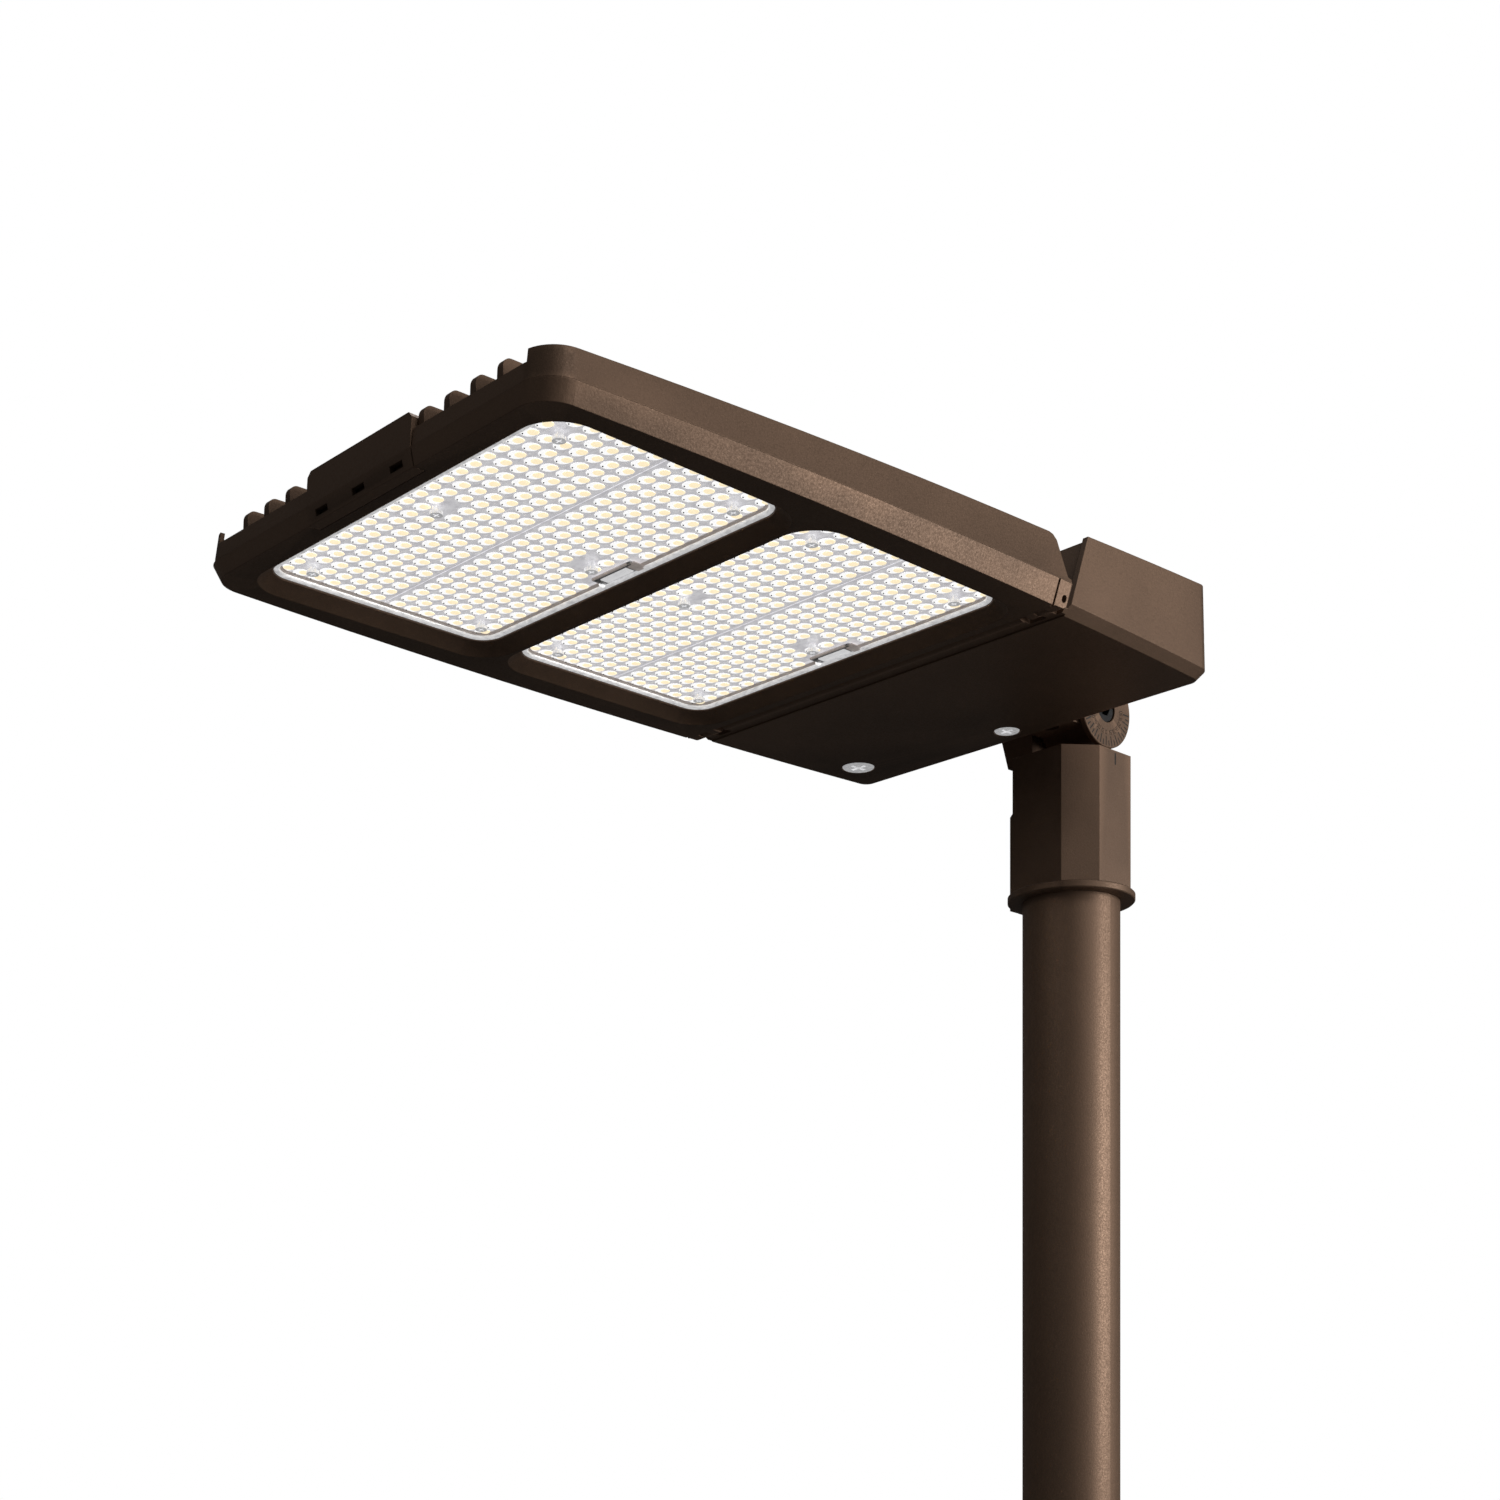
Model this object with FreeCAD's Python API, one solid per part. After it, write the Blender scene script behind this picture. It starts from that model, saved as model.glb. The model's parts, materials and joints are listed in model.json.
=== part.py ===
import FreeCAD, Part
import math
import os

# Pole-mounted area luminaire on an adjustable slip fitter, in millimetres.
# Z is up, the pole's axis is the Z axis and its lower end is at z = 0.
# The lamp head reaches out from the pole towards -Y; its hinge and tilt axes run along X.
V = FreeCAD.Vector
X_AXIS, Y_AXIS, Z_AXIS = V(1, 0, 0), V(0, 1, 0), V(0, 0, 1)

# --- Driving dimensions ---------------------------------------------------------------------
# Pole and slip fitter
POLE_OD = 60.33
POLE_WALL = 3.91
POLE_EXPOSED = 400.0
SOCKET_DEPTH = 70.0
SLIDE_CLEARANCE = 0.08
COLLAR_REACH = 9.235
COLLAR_THICK = 4.5
BARREL_HEIGHT = 87.0
BARREL_WALL = 3.755
FRONT_FACE_HALF = 19.0
SIDE_FACE_HALF = 15.5
CROWN_THICK = 13.0
WIRE_HOLE_R = 9.0
SCREW_PAD_PROUD = 4.5
SCREW_PAD_HALF = 13.0
SCREW_PAD_TOP = 60.0
SET_SCREW_R = 4.0
SET_SCREW_COUNT = 3
POINTER = (1.2, 8.5, 0.6)

# Tilt knuckle
PIVOT_RISE = 27.8
DIAL_R = 24.0
DIAL_THICK = 4.0
HUB_R = 19.0
EAR_R = 20.0
KNUCKLE_FACE_X = -12.0
DIAL_FACE_X = 27.0
EAR_LEAN = 5.6
EAR_ROOT = (-1.4, 19.0)
TEETH = 36
TOOTH_DEPTH = 1.2
TEETH_INNER_R = 11.0
KNUCKLE_GAP = 0.4
PIVOT_BOLT_R = 5.0
BOLT_HEAD_R = 8.0
BOLT_HEAD_H = 8.0
BOLT_CLEARANCE = 0.05
NUT_HALF = 8.0
NUT_DEPTH = 7.0
DIAL_STEP_DEG = 7.5
DIAL_MARK_DEPTH = 0.5
ARM_FLOOR = 9.0
FLANGE = (35.0, 6.0, 44.0)
ARM_BOLT_R = 3.0
ARM_WIRE_R = 7.0
ARM_WIRE_X = 5.0
ARM_WIRE_Z = 26.0

# Lamp head: heights are counted from its flat underside, which is HEAD_LIFT above the barrel
HEAD_LIFT = 5.4
HEAD_HALF_WIDTH = 142.6
HOUSING_LENGTH = 331.4
BAY_LENGTH = 149.4
HEAD_GAP = 9.28
BOW_RADIUS = 3600.0
BOW_CENTRE = 97.4
FRONT_CORNER_R = 17.0
REAR_CORNER_R = 1.5
TIER_HEIGHT = 8.4
SEAM_CLIMB_DEG = 0.7
TIER_FLARE = 4.6
TIER_FLARE_FRONT = 1.8
RIM_STEP = 0.4
RIM_LEAN = 3.4
RIM_TOP_LEVEL = 39.0
RIM_FRONT_HEIGHT = 22.8
RIM_REAR_HEIGHT = 36.6
FRONT_WALL_HEIGHT = 17.0
TALL_RIM_SIDE = 17.8
RIM_WALL = 3.2
BASE_BOTTOM = 12.0
BASE_THICK = 4.0
SEAM = 0.3
SPIGOT_INSET = 7.0
SIDE_SLOT = (1.6, 1.4, 3.0)
FRAME_SCREW_R = 1.6
FRAME_SCREW_INSET = 8.0
FRAME_SCREW_MARGIN = 42.0

# Cooling fins
FINS_PER_SIDE = 6
FIN_FIRST_X = 7.0
FIN_SIDE = 39.1
FIN_FOOT_THICK = 5.0
FIN_TIP_THICK = 2.6
FIN_FRONT_TOP = 27.7
FIN_REAR_TOP = 34.5
FIN_NOSE_R = 5.0
FIN_FRONT_SETBACK = 2.0
FIN_REAR_SETBACK = 14.4

# Optical modules behind the two windows
WINDOW_SIDE = 17.0
WINDOW_FRONT_MARGIN = 12.6
WINDOW_REAR_MARGIN = 5.4
WINDOW_LAND = 2.2
WINDOW_CORNER_R = 21.5
BEVEL = 7.8
BEVEL_DEPTH = 5.8
LEDGE_THICK = 0.6
LENS_LAP = 4.0
LENS_THICK = 3.2
BOARD_THICK = 1.6
BOARD_CORNER_R = 14.0
GASKET_W = 3.0
FIT_GAP = 0.5
MODULE_SCREW_R = 1.9
MODULE_SCREW_CLEARANCE = 0.1
MODULE_SCREW_EDGE = 17.4
MODULE_SCREW_MID_EDGE = 22.4
MODULE_SCREW_SIDE = 26.6

# Front access cover
COVER_HALF_WIDTH = 42.6
COVER_TOP = 25.2
COVER_PROUD = 0.3
COVER_LEAN = 1.2
COVER_DEPTH = 50.0
COVER_LIP = 5.8
COVER_CORNER = 2.6
COVER_WALL = 2.2
COVER_GAP = 0.4
COVER_SLOT_PITCH = 30.5
COVER_SLOT = (10.0, 3.0)
COVER_SCREW_R = 2.0

# Driver compartment: fixed tray above, hinged door below
DOOR_CHAMFER = 5.0
DOOR_CORNER_R = 11.0
DOOR_DRAFT = 1.2
DOOR_TOP_REAR = 52.9
DOOR_TOP_SLOPE = 0.065
DOOR_WALL = 3.0
RAKE_START = 7.8
RAKE_RATIO = 0.39
BAND_WIDTH = 8.6
BAND_DEPTH = 0.8
TRAY_GAP = 1.5
TRAY_WALL = 3.0
TRAY_FOOT = 6.0
TRAY_SIDE_MARGIN = 44.6
APRON_THICK = 3.0
TRAY_SCREW_R = 2.0
DOOR_GASKET_W = 4.0
DOOR_GASKET_GAP = 0.2
NOTCH_HALF = 38.0
NOTCH_FLOOR = 7.0
POST_R = 7.5

# Door hinge; the ears are placed inwards from the head's side
HINGE_SETBACK = 5.6
HINGE_Z = 4.6
HINGE_R = 4.3
HINGE_PIN_R = 1.8
HINGE_RUN = 0.06
HINGE_SIDE_GAP = 0.5
HINGE_RELIEF = 1.4
OUTER_EAR_INSET = 8.8
INNER_EAR_INSET = (22.1, 16.4)
INNER_RELIEF_INSET = 27.1

# Fasteners and electrics
SIDE_SCREW = (33.9, 34.5, 10.0)
MIDDLE_SCREW = (0.0, 18.8, 7.5)
DOOR_SCREW_SHANK_R = 3.0
DOOR_SCREW_HEAD_H = 1.2
POST_ROOM = 1.6
DRIVER_SIDE_ROOM = 95.2
DRIVER_DEPTH = 38.0
DRIVER_HEIGHT = 28.0
DRIVER_SHIFTS = (-14.0, 16.0)
DRIVER_SPACING = 4.0
DRIVER_FOOT = 10.0
DRIVER_SCREW_R = 1.5
LEAD_R = 1.9
LEAD_SPREAD = 2.3
LEAD_RISE = 12.0
LEAD_DROP = 20.0
LEAD_BEND_R = 6.0
GROMMET_R = 6.0
GROMMET_FLANGE = (8.0, 1.5)
GROMMET_HALF_LENGTH = 6.6

# --- Derived positions and levels -----------------------------------------------------------
SOCKET_R = POLE_OD / 2 + SLIDE_CLEARANCE
BARREL_HALF = POLE_OD / 2 + BARREL_WALL
COLLAR_R = POLE_OD / 2 + COLLAR_REACH
COLLAR_Z = POLE_EXPOSED
BARREL_TOP = COLLAR_Z + BARREL_HEIGHT
PIVOT_Z = BARREL_TOP + PIVOT_RISE
HEAD_Z = BARREL_TOP + HEAD_LIFT
PIVOT_IN_HEAD = PIVOT_Z - HEAD_Z
EAR_OUTER_X = -BARREL_HALF - EAR_LEAN
DOOR_REAR_Y = -BARREL_HALF - HEAD_GAP
HEAD_REAR_Y = DOOR_REAR_Y - BAY_LENGTH
HEAD_FRONT_Y = HEAD_REAR_Y - HOUSING_LENGTH
HINGE_Y = HEAD_REAR_Y + HINGE_SETBACK
EAR_REAR_Y = HINGE_Y + HINGE_R
RAKE_LOW_Y = HINGE_Y + RAKE_START
BOW_CENTRE_Y = HEAD_REAR_Y - BOW_CENTRE
WINDOW_HALF_WIDTH = HEAD_HALF_WIDTH - WINDOW_SIDE
WINDOW_LENGTH = (HOUSING_LENGTH - WINDOW_FRONT_MARGIN - WINDOW_REAR_MARGIN - WINDOW_LAND) / 2
LENS_BOTTOM = BEVEL_DEPTH + LEDGE_THICK
LENS_TOP = LENS_BOTTOM + LENS_THICK
BOARD_BOTTOM = BASE_BOTTOM - BOARD_THICK
BASE_TOP = BASE_BOTTOM + BASE_THICK
LEAD_Z = BASE_TOP + LEAD_RISE
OUTER_EAR_X = HEAD_HALF_WIDTH - OUTER_EAR_INSET
INNER_EAR_X = (HEAD_HALF_WIDTH - INNER_EAR_INSET[0], HEAD_HALF_WIDTH - INNER_EAR_INSET[1])
RELIEF_X = HEAD_HALF_WIDTH - INNER_RELIEF_INSET
TRAY_REAR_Y = DOOR_REAR_Y - DOOR_WALL - TRAY_GAP - DOOR_DRAFT
TRAY_INSET = DOOR_WALL + DOOR_DRAFT + TRAY_GAP
DOOR_SCREWS = {
    "door_screw_side": (SIDE_SCREW[0] - HEAD_HALF_WIDTH, DOOR_REAR_Y - SIDE_SCREW[1], SIDE_SCREW[2]),
    "door_screw_middle": (MIDDLE_SCREW[0], DOOR_REAR_Y - MIDDLE_SCREW[1], MIDDLE_SCREW[2]),
}
FAR = 300.0

PARTS = {}


def add(name, shape, lift=0.0):
    """Keep a finished piece; lift raises a piece built from the head's underside."""
    shape = shape.copy()
    shape.translate(V(0, 0, lift))
    PARTS[name] = shape


# --- Small shape helpers --------------------------------------------------------------------
def block(x, y, z):
    """Box between pairs of limits along each axis."""
    return Part.makeBox(x[1] - x[0], y[1] - y[0], z[1] - z[0], V(x[0], y[0], z[0]))


def rod(radius, start, end):
    """Round bar from one point to another."""
    a, b = V(*start), V(*end)
    return Part.makeCylinder(radius, (b - a).Length, a, b - a)


def prism(points, direction):
    """Closed polygon pushed along a direction."""
    loop = Part.makePolygon([V(*p) for p in points] + [V(*points[0])])
    return Part.Face(loop).extrude(V(*direction))


def side_prism(yz, x):
    """Polygon in the Y-Z plane pushed along X between two limits."""
    return prism([(x[0], y, z) for y, z in yz], (x[1] - x[0], 0, 0))


def rounded_slab(half, y, z, radius):
    """Rectangle with round corners, centred on X, between y and z limits."""
    slab = block((-half, half), y, z)
    upright = [e for e in slab.Edges if abs(e.tangentAt(e.FirstParameter).z) > 0.99]
    return slab.makeFillet(radius, upright)


def on_circle(radius, degrees):
    angle = math.radians(degrees)
    return radius * math.cos(angle), radius * math.sin(angle)


def bow(y, half):
    """Half-width at y of a long side that is an arc of BOW_RADIUS."""
    return half - BOW_RADIUS + math.sqrt(BOW_RADIUS ** 2 - (y - BOW_CENTRE_Y) ** 2)


def bowed_loop(half, front, rear, radii, z):
    """Plan outline with straight ends, bowed long sides and tangent (front, rear) corner arcs."""
    centre_x = half - BOW_RADIUS

    def corner(y_end, inward, radius):
        cy = y_end + inward * radius
        cx = centre_x + math.sqrt((BOW_RADIUS - radius) ** 2 - (cy - BOW_CENTRE_Y) ** 2)
        away = V(cx - centre_x, cy - BOW_CENTRE_Y, 0).normalize()
        middle = (away + V(0, -inward, 0)).normalize()
        heart = V(cx, cy, z)
        return heart + away * radius, heart + middle * radius, V(cx, y_end, z)

    f_side, f_mid, f_end = corner(front, 1, radii[0])
    r_side, r_mid, r_end = corner(rear, -1, radii[1])
    y_mid = (f_side.y + r_side.y) / 2
    s_mid = V(bow(y_mid, half), y_mid, z)

    def mirrored(p):
        return V(-p.x, p.y, p.z)

    right = [Part.Arc(f_end, f_mid, f_side), Part.Arc(f_side, s_mid, r_side),
             Part.Arc(r_side, r_mid, r_end)]
    left = [Part.Arc(mirrored(r_end), mirrored(r_mid), mirrored(r_side)),
            Part.Arc(mirrored(r_side), mirrored(s_mid), mirrored(f_side)),
            Part.Arc(mirrored(f_side), mirrored(f_mid), mirrored(f_end))]
    front_line = Part.LineSegment(mirrored(f_end), f_end)
    rear_line = Part.LineSegment(r_end, mirrored(r_end))
    curves = [front_line] + right + [rear_line] + left
    return Part.Wire([c.toShape() for c in curves])


def bowed_slab(lower, upper):
    """Solid between two bowed outlines, each (half, front, rear, radii, z)."""
    return Part.makeLoft([bowed_loop(*lower), bowed_loop(*upper)], True, True)


def on_seam(outline):
    """Outline laid on the parting plane, which climbs towards the rear."""
    loop = bowed_loop(*outline)
    loop.rotate(V(0, HEAD_FRONT_Y, outline[4]), X_AXIS, SEAM_CLIMB_DEG)
    return loop


def corner_radii(inset):
    """Corner radii of the LED housing's outline moved inwards."""
    return (max(FRONT_CORNER_R - inset, 1.0), REAR_CORNER_R)


def joined(shapes):
    first, rest = shapes[0], shapes[1:]
    return first.fuse(rest).removeSplitter() if rest else first


def cut_all(body, tools):
    return body.cut(Part.makeCompound(tools))


def phillips_recess(x, y, z, size, depth):
    """Cross-shaped driver recess that opens downwards at z."""
    arm = size / 4.5
    bars = [block((x - size / 2, x + size / 2), (y - arm / 2, y + arm / 2), (z, z + depth)),
            block((x - arm / 2, x + arm / 2), (y - size / 2, y + size / 2), (z, z + depth))]
    return joined(bars)


# --- Pole and fitter ------------------------------------------------------------------------
def make_pole():
    top = COLLAR_Z + SOCKET_DEPTH
    tube = rod(POLE_OD / 2, (0, 0, 0), (0, 0, top))
    return tube.cut(rod(POLE_OD / 2 - POLE_WALL, (0, 0, 0), (0, 0, top)))


def barrel_prism(z):
    """Eight-sided barrel: broad faces to front and back, narrower ones at the sides."""
    a, b, s = FRONT_FACE_HALF, SIDE_FACE_HALF, BARREL_HALF
    corners = [(a, -s), (s, -b), (s, b), (a, s), (-a, s), (-s, b), (-s, -b), (-a, -s)]
    return prism([(x, y, z[0]) for x, y in corners], (0, 0, z[1] - z[0]))


def set_screw_places():
    rise = (SCREW_PAD_TOP - COLLAR_THICK) / (SET_SCREW_COUNT + 0.5)
    return [COLLAR_Z + COLLAR_THICK + rise * (i + 0.75) for i in range(SET_SCREW_COUNT)]


def tooth_ring(x, towards, outer_r):
    """Ring of radial saw teeth round the tilt axis, standing out of a face at x."""
    half = math.pi * outer_r / TEETH
    teeth = []
    for i in range(TEETH):
        tooth = prism([(x, -half * TEETH_INNER_R / outer_r, TEETH_INNER_R),
                       (x + towards * TOOTH_DEPTH, 0, TEETH_INNER_R),
                       (x, half * TEETH_INNER_R / outer_r, TEETH_INNER_R)],
                      (0, 0, outer_r - TEETH_INNER_R))
        tooth.rotate(V(0, 0, 0), X_AXIS, 360.0 / TEETH * i)
        teeth.append(tooth)
    return teeth


def make_fitter():
    barrel = barrel_prism((COLLAR_Z, BARREL_TOP))
    collar = rod(COLLAR_R, (0, 0, COLLAR_Z), (0, 0, COLLAR_Z + COLLAR_THICK))
    collar = collar.makeChamfer(0.6, [e for e in collar.Edges if e.Closed])
    pad_x = -BARREL_HALF - SCREW_PAD_PROUD
    pad_top = COLLAR_Z + SCREW_PAD_TOP
    pad = prism([(pad_x, -SCREW_PAD_HALF, COLLAR_Z), (-BARREL_HALF + 1, -SCREW_PAD_HALF, COLLAR_Z),
                 (-BARREL_HALF + 1, -SCREW_PAD_HALF, pad_top + SCREW_PAD_PROUD),
                 (pad_x, -SCREW_PAD_HALF, pad_top - 1)], (0, 2 * SCREW_PAD_HALF, 0))
    body = joined([barrel, collar, pad])
    socket = rod(SOCKET_R, (0, 0, COLLAR_Z), (0, 0, COLLAR_Z + SOCKET_DEPTH + 1))
    lighten = rod(SOCKET_R - 6, (0, 0, COLLAR_Z), (0, 0, BARREL_TOP - CROWN_THICK + 6))
    wire_hole = rod(WIRE_HOLE_R, (8, 0, COLLAR_Z), (8, 0, BARREL_TOP + 1))
    screws = [rod(SET_SCREW_R, (pad_x - 1, 0, z), (0, 0, z)) for z in set_screw_places()]
    body = cut_all(body, [socket, lighten, wire_hole] + screws)

    # Upright ear beside the tilt axis, leaning outwards from the barrel's left side.
    ear_face = KNUCKLE_FACE_X - TOOTH_DEPTH * 2 - KNUCKLE_GAP
    disc = rod(EAR_R, (EAR_OUTER_X, 0, PIVOT_Z), (ear_face, 0, PIVOT_Z))
    root = BARREL_TOP + EAR_ROOT[0]
    neck = prism([(-BARREL_HALF + 0.1, -EAR_R, root), (ear_face, -EAR_R, root),
                  (ear_face, -EAR_R, PIVOT_Z), (EAR_OUTER_X, -EAR_R, PIVOT_Z),
                  (EAR_OUTER_X, -EAR_R, BARREL_TOP + EAR_ROOT[1])], (0, 2 * EAR_R, 0))
    trims = [block((-FAR, 0), y, (root - 1, BARREL_TOP - 0.1))
             for y in both_sides((SIDE_FACE_HALF, FAR))]
    neck = cut_all(neck, trims)
    hollow = block((EAR_OUTER_X + 8, ear_face - 6), (-9, 9), (BARREL_TOP - 1, PIVOT_Z - 12))
    teeth = tooth_ring(ear_face, 1, EAR_R - 2)
    for tooth in teeth:
        tooth.translate(V(0, 0, PIVOT_Z))
    body = joined([body, disc, neck] + teeth)
    bolt_hole = rod(PIVOT_BOLT_R, (EAR_OUTER_X - 1, 0, PIVOT_Z), (0, 0, PIVOT_Z))
    nut_pocket = hexagon(NUT_HALF + FIT_GAP / 2, (EAR_OUTER_X - 1, EAR_OUTER_X + NUT_DEPTH))
    w, tall, deep = POINTER
    pointer = block((BARREL_HALF - deep, BARREL_HALF + 1), (-w / 2, w / 2),
                    (BARREL_TOP - tall, BARREL_TOP - 1.5))
    return cut_all(body, [bolt_hole, nut_pocket, hollow, pointer])


def hexagon(across_half, x):
    """Hexagonal bar on the tilt axis between two x limits, sized across its flats."""
    r = across_half / math.cos(math.radians(30))
    ring = [on_circle(r, 60 * i) for i in range(6)]
    return prism([(x[0], u, PIVOT_Z + v) for u, v in ring], (x[1] - x[0], 0, 0))


def make_set_screws():
    """Socket set screws that bear on the pole, hex recess at the outer end."""
    tip, outer = -POLE_OD / 2, -BARREL_HALF - SCREW_PAD_PROUD + 1.5
    screws = []
    for z in set_screw_places():
        body = rod(SET_SCREW_R, (outer, 0, z), (tip, 0, z))
        ring = [on_circle(2.3, 60 * i) for i in range(6)]
        socket = prism([(outer - 1, u, z + v) for u, v in ring], (4, 0, 0))
        screws.append(body.cut(socket))
    return Part.makeCompound([trim_to_pole(s) for s in screws])


def trim_to_pole(shape):
    """Take away what would press into the pole's wall."""
    return shape.cut(rod(POLE_OD / 2 + 0.02, (0, 0, 0), (0, 0, COLLAR_Z + SOCKET_DEPTH)))


def make_pivot_bolt():
    face = DIAL_FACE_X - BOLT_HEAD_H - 1.0
    shank = rod(PIVOT_BOLT_R - BOLT_CLEARANCE, (EAR_OUTER_X - 1, 0, PIVOT_Z), (face, 0, PIVOT_Z))
    head = rod(BOLT_HEAD_R, (face, 0, PIVOT_Z), (face + BOLT_HEAD_H, 0, PIVOT_Z))
    socket = hexagon(4.0, (face + BOLT_HEAD_H - 5, face + BOLT_HEAD_H + 1))
    return joined([shank, head]).cut(socket)


def make_pivot_nut():
    nut = hexagon(NUT_HALF, (EAR_OUTER_X - 0.5, EAR_OUTER_X + NUT_DEPTH))
    return nut.cut(rod(PIVOT_BOLT_R - BOLT_CLEARANCE, (-FAR, 0, PIVOT_Z), (0, 0, PIVOT_Z)))


# --- Tilt arm -------------------------------------------------------------------------------
def digit_strokes(digit):
    """Seven-segment strokes of a digit as unit boxes (u0, u1, v0, v1)."""
    segments = {"a": (0, 1, 1.8, 2), "b": (0.8, 1, 1, 2), "c": (0.8, 1, 0, 1), "d": (0, 1, 0, 0.2),
                "e": (0, 0.2, 0, 1), "f": (0, 0.2, 1, 2), "g": (0, 1, 0.9, 1.1)}
    lit = {"0": "abcdef", "1": "bc", "2": "abged", "3": "abgcd", "4": "fgbc", "5": "afgcd",
           "6": "afgedc", "7": "abc", "8": "abcdefg", "9": "abcdfg"}
    return [segments[s] for s in lit[digit]]


def dial_marks(z):
    """Engraved scale on the dial's face: ticks every step, numbers at each second one."""
    cuts = []
    face = DIAL_FACE_X - DIAL_MARK_DEPTH
    steps = int(90 / DIAL_STEP_DEG)
    for i in range(-steps, steps + 1):
        long_tick = i % 2 == 0
        inner = DIAL_R - (7.0 if long_tick else 4.5)
        tick = block((face, DIAL_FACE_X + 1), (-0.35, 0.35), (-DIAL_R + 1.2, -inner))
        marks = [tick]
        if long_tick:
            text = str(abs(round(i * DIAL_STEP_DEG)))
            wide = 1.3
            start = -(len(text) * wide + (len(text) - 1) * 0.4) / 2
            for k, digit in enumerate(text):
                u = start + k * (wide + 0.4)
                for u0, u1, v0, v1 in digit_strokes(digit):
                    marks.append(block((face, DIAL_FACE_X + 1), (u + u0 * wide, u + u1 * wide),
                                       (-inner + 1 + v0 * 1.3, -inner + 1 + v1 * 1.3)))
        for mark in marks:
            mark.rotate(V(0, 0, 0), X_AXIS, i * DIAL_STEP_DEG)
            mark.translate(V(0, 0, z))
            cuts.append(mark)
    return cuts


def make_tilt_arm():
    z = PIVOT_IN_HEAD
    hub = rod(HUB_R, (KNUCKLE_FACE_X, 0, z), (DIAL_FACE_X - DIAL_THICK, 0, z))
    dial = rod(DIAL_R, (DIAL_FACE_X - DIAL_THICK, 0, z), (DIAL_FACE_X, 0, z))
    dial = dial.makeChamfer(0.5, [e for e in dial.Edges if e.Closed])
    teeth = tooth_ring(KNUCKLE_FACE_X, -1, HUB_R - 0.2)
    for tooth in teeth:
        tooth.translate(V(0, 0, z))
    wide, thick, high = FLANGE
    rear, knee = TRAY_REAR_Y, TRAY_REAR_Y + 2 * FLANGE[1]
    neck = side_prism([(0, z - 12), (knee, ARM_FLOOR), (rear, ARM_FLOOR), (rear, high - 2),
                       (knee, high - 2), (0, z + HUB_R - 0.5)],
                      (KNUCKLE_FACE_X + 0.5, DIAL_FACE_X - DIAL_THICK - 1))
    flange = block((-wide, wide), (rear, rear + thick), (ARM_FLOOR, high))
    rounded = [e for e in flange.Edges if abs(e.tangentAt(e.FirstParameter).y) > 0.99]
    flange = flange.makeFillet(5, rounded)
    arm = joined([hub, dial, neck, flange] + teeth)
    bolt_hole = rod(PIVOT_BOLT_R + BOLT_CLEARANCE, (-FAR, 0, z), (FAR, 0, z))
    well_floor = DIAL_FACE_X - BOLT_HEAD_H - 1
    head_well = rod(BOLT_HEAD_R + 0.6, (well_floor, 0, z), (DIAL_FACE_X + 1, 0, z))
    drop_y = -HUB_R - 9
    passage = rod(ARM_WIRE_R, (ARM_WIRE_X, rear - 1, ARM_WIRE_Z), (ARM_WIRE_X, drop_y + 3, ARM_WIRE_Z))
    drop = rod(ARM_WIRE_R - 1, (ARM_WIRE_X, drop_y, 0), (ARM_WIRE_X, drop_y, ARM_WIRE_Z))
    bolt_holes = [rod(ARM_BOLT_R, (x, rear - 1, h), (x, rear + thick + 2, h)) for x, h in arm_bolt_places()]
    arm = cut_all(arm, [bolt_hole, head_well, passage, drop] + bolt_holes)
    return cut_all(arm, dial_marks(z))


def arm_bolt_places():
    x = FLANGE[0] - 6
    return [(side * x, h) for side in (-1, 1) for h in (ARM_FLOOR + 7, FLANGE[2] - 7)]


def make_arm_bolts():
    rear, face = TRAY_REAR_Y, TRAY_REAR_Y + FLANGE[1]
    bolts = []
    for x, h in arm_bolt_places():
        shank = rod(ARM_BOLT_R, (x, rear - TRAY_WALL, h), (x, face, h))
        head = rod(1.7 * ARM_BOLT_R, (x, face, h), (x, face + 4, h))
        socket = rod(0.85 * ARM_BOLT_R, (x, face + 1.5, h), (x, face + 5, h))
        bolts.append(joined([shank, head]).cut(socket))
    return Part.makeCompound(bolts)


# --- Lamp housing ---------------------------------------------------------------------------
def window_spans():
    """(front, rear) lip limits along Y of each window, rear window first."""
    first = HEAD_REAR_Y - WINDOW_REAR_MARGIN
    second = first - WINDOW_LENGTH - WINDOW_LAND
    return [(rear - WINDOW_LENGTH, rear) for rear in (first, second)]


def window_slab(span, inset, z, radius):
    return rounded_slab(WINDOW_HALF_WIDTH - inset, (span[0] + inset, span[1] - inset), z, radius)


def window_funnel(span):
    """Bevelled opening, widest at the underside."""
    def loop(inset, z, radius):
        half, y0, y1 = WINDOW_HALF_WIDTH - inset, span[0] + inset, span[1] - inset
        return round_loop(half, y0, y1, radius, z)
    narrow = loop(BEVEL, BEVEL_DEPTH, WINDOW_CORNER_R - BEVEL)
    return Part.makeLoft([loop(0, 0, WINDOW_CORNER_R), narrow], True, True)


def round_loop(half, y0, y1, radius, z):
    """Rectangle with quarter-circle corners as a wire."""
    corners = [(half - radius, y0 + radius, -90), (half - radius, y1 - radius, 0),
               (-half + radius, y1 - radius, 90), (-half + radius, y0 + radius, 180)]
    arcs = []
    for cx, cy, start in corners:
        reach = [on_circle(radius, start + turn) for turn in (0, 45, 90)]
        arcs.append([V(cx + u, cy + v, z) for u, v in reach])
    edges = []
    for i, arc in enumerate(arcs):
        edges.append(Part.Arc(*arc).toShape())
        edges.append(Part.LineSegment(arc[2], arcs[(i + 1) % 4][0]).toShape())
    return Part.Wire(edges)


def both_sides(limits):
    return [limits, (-limits[1], -limits[0])]


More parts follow.
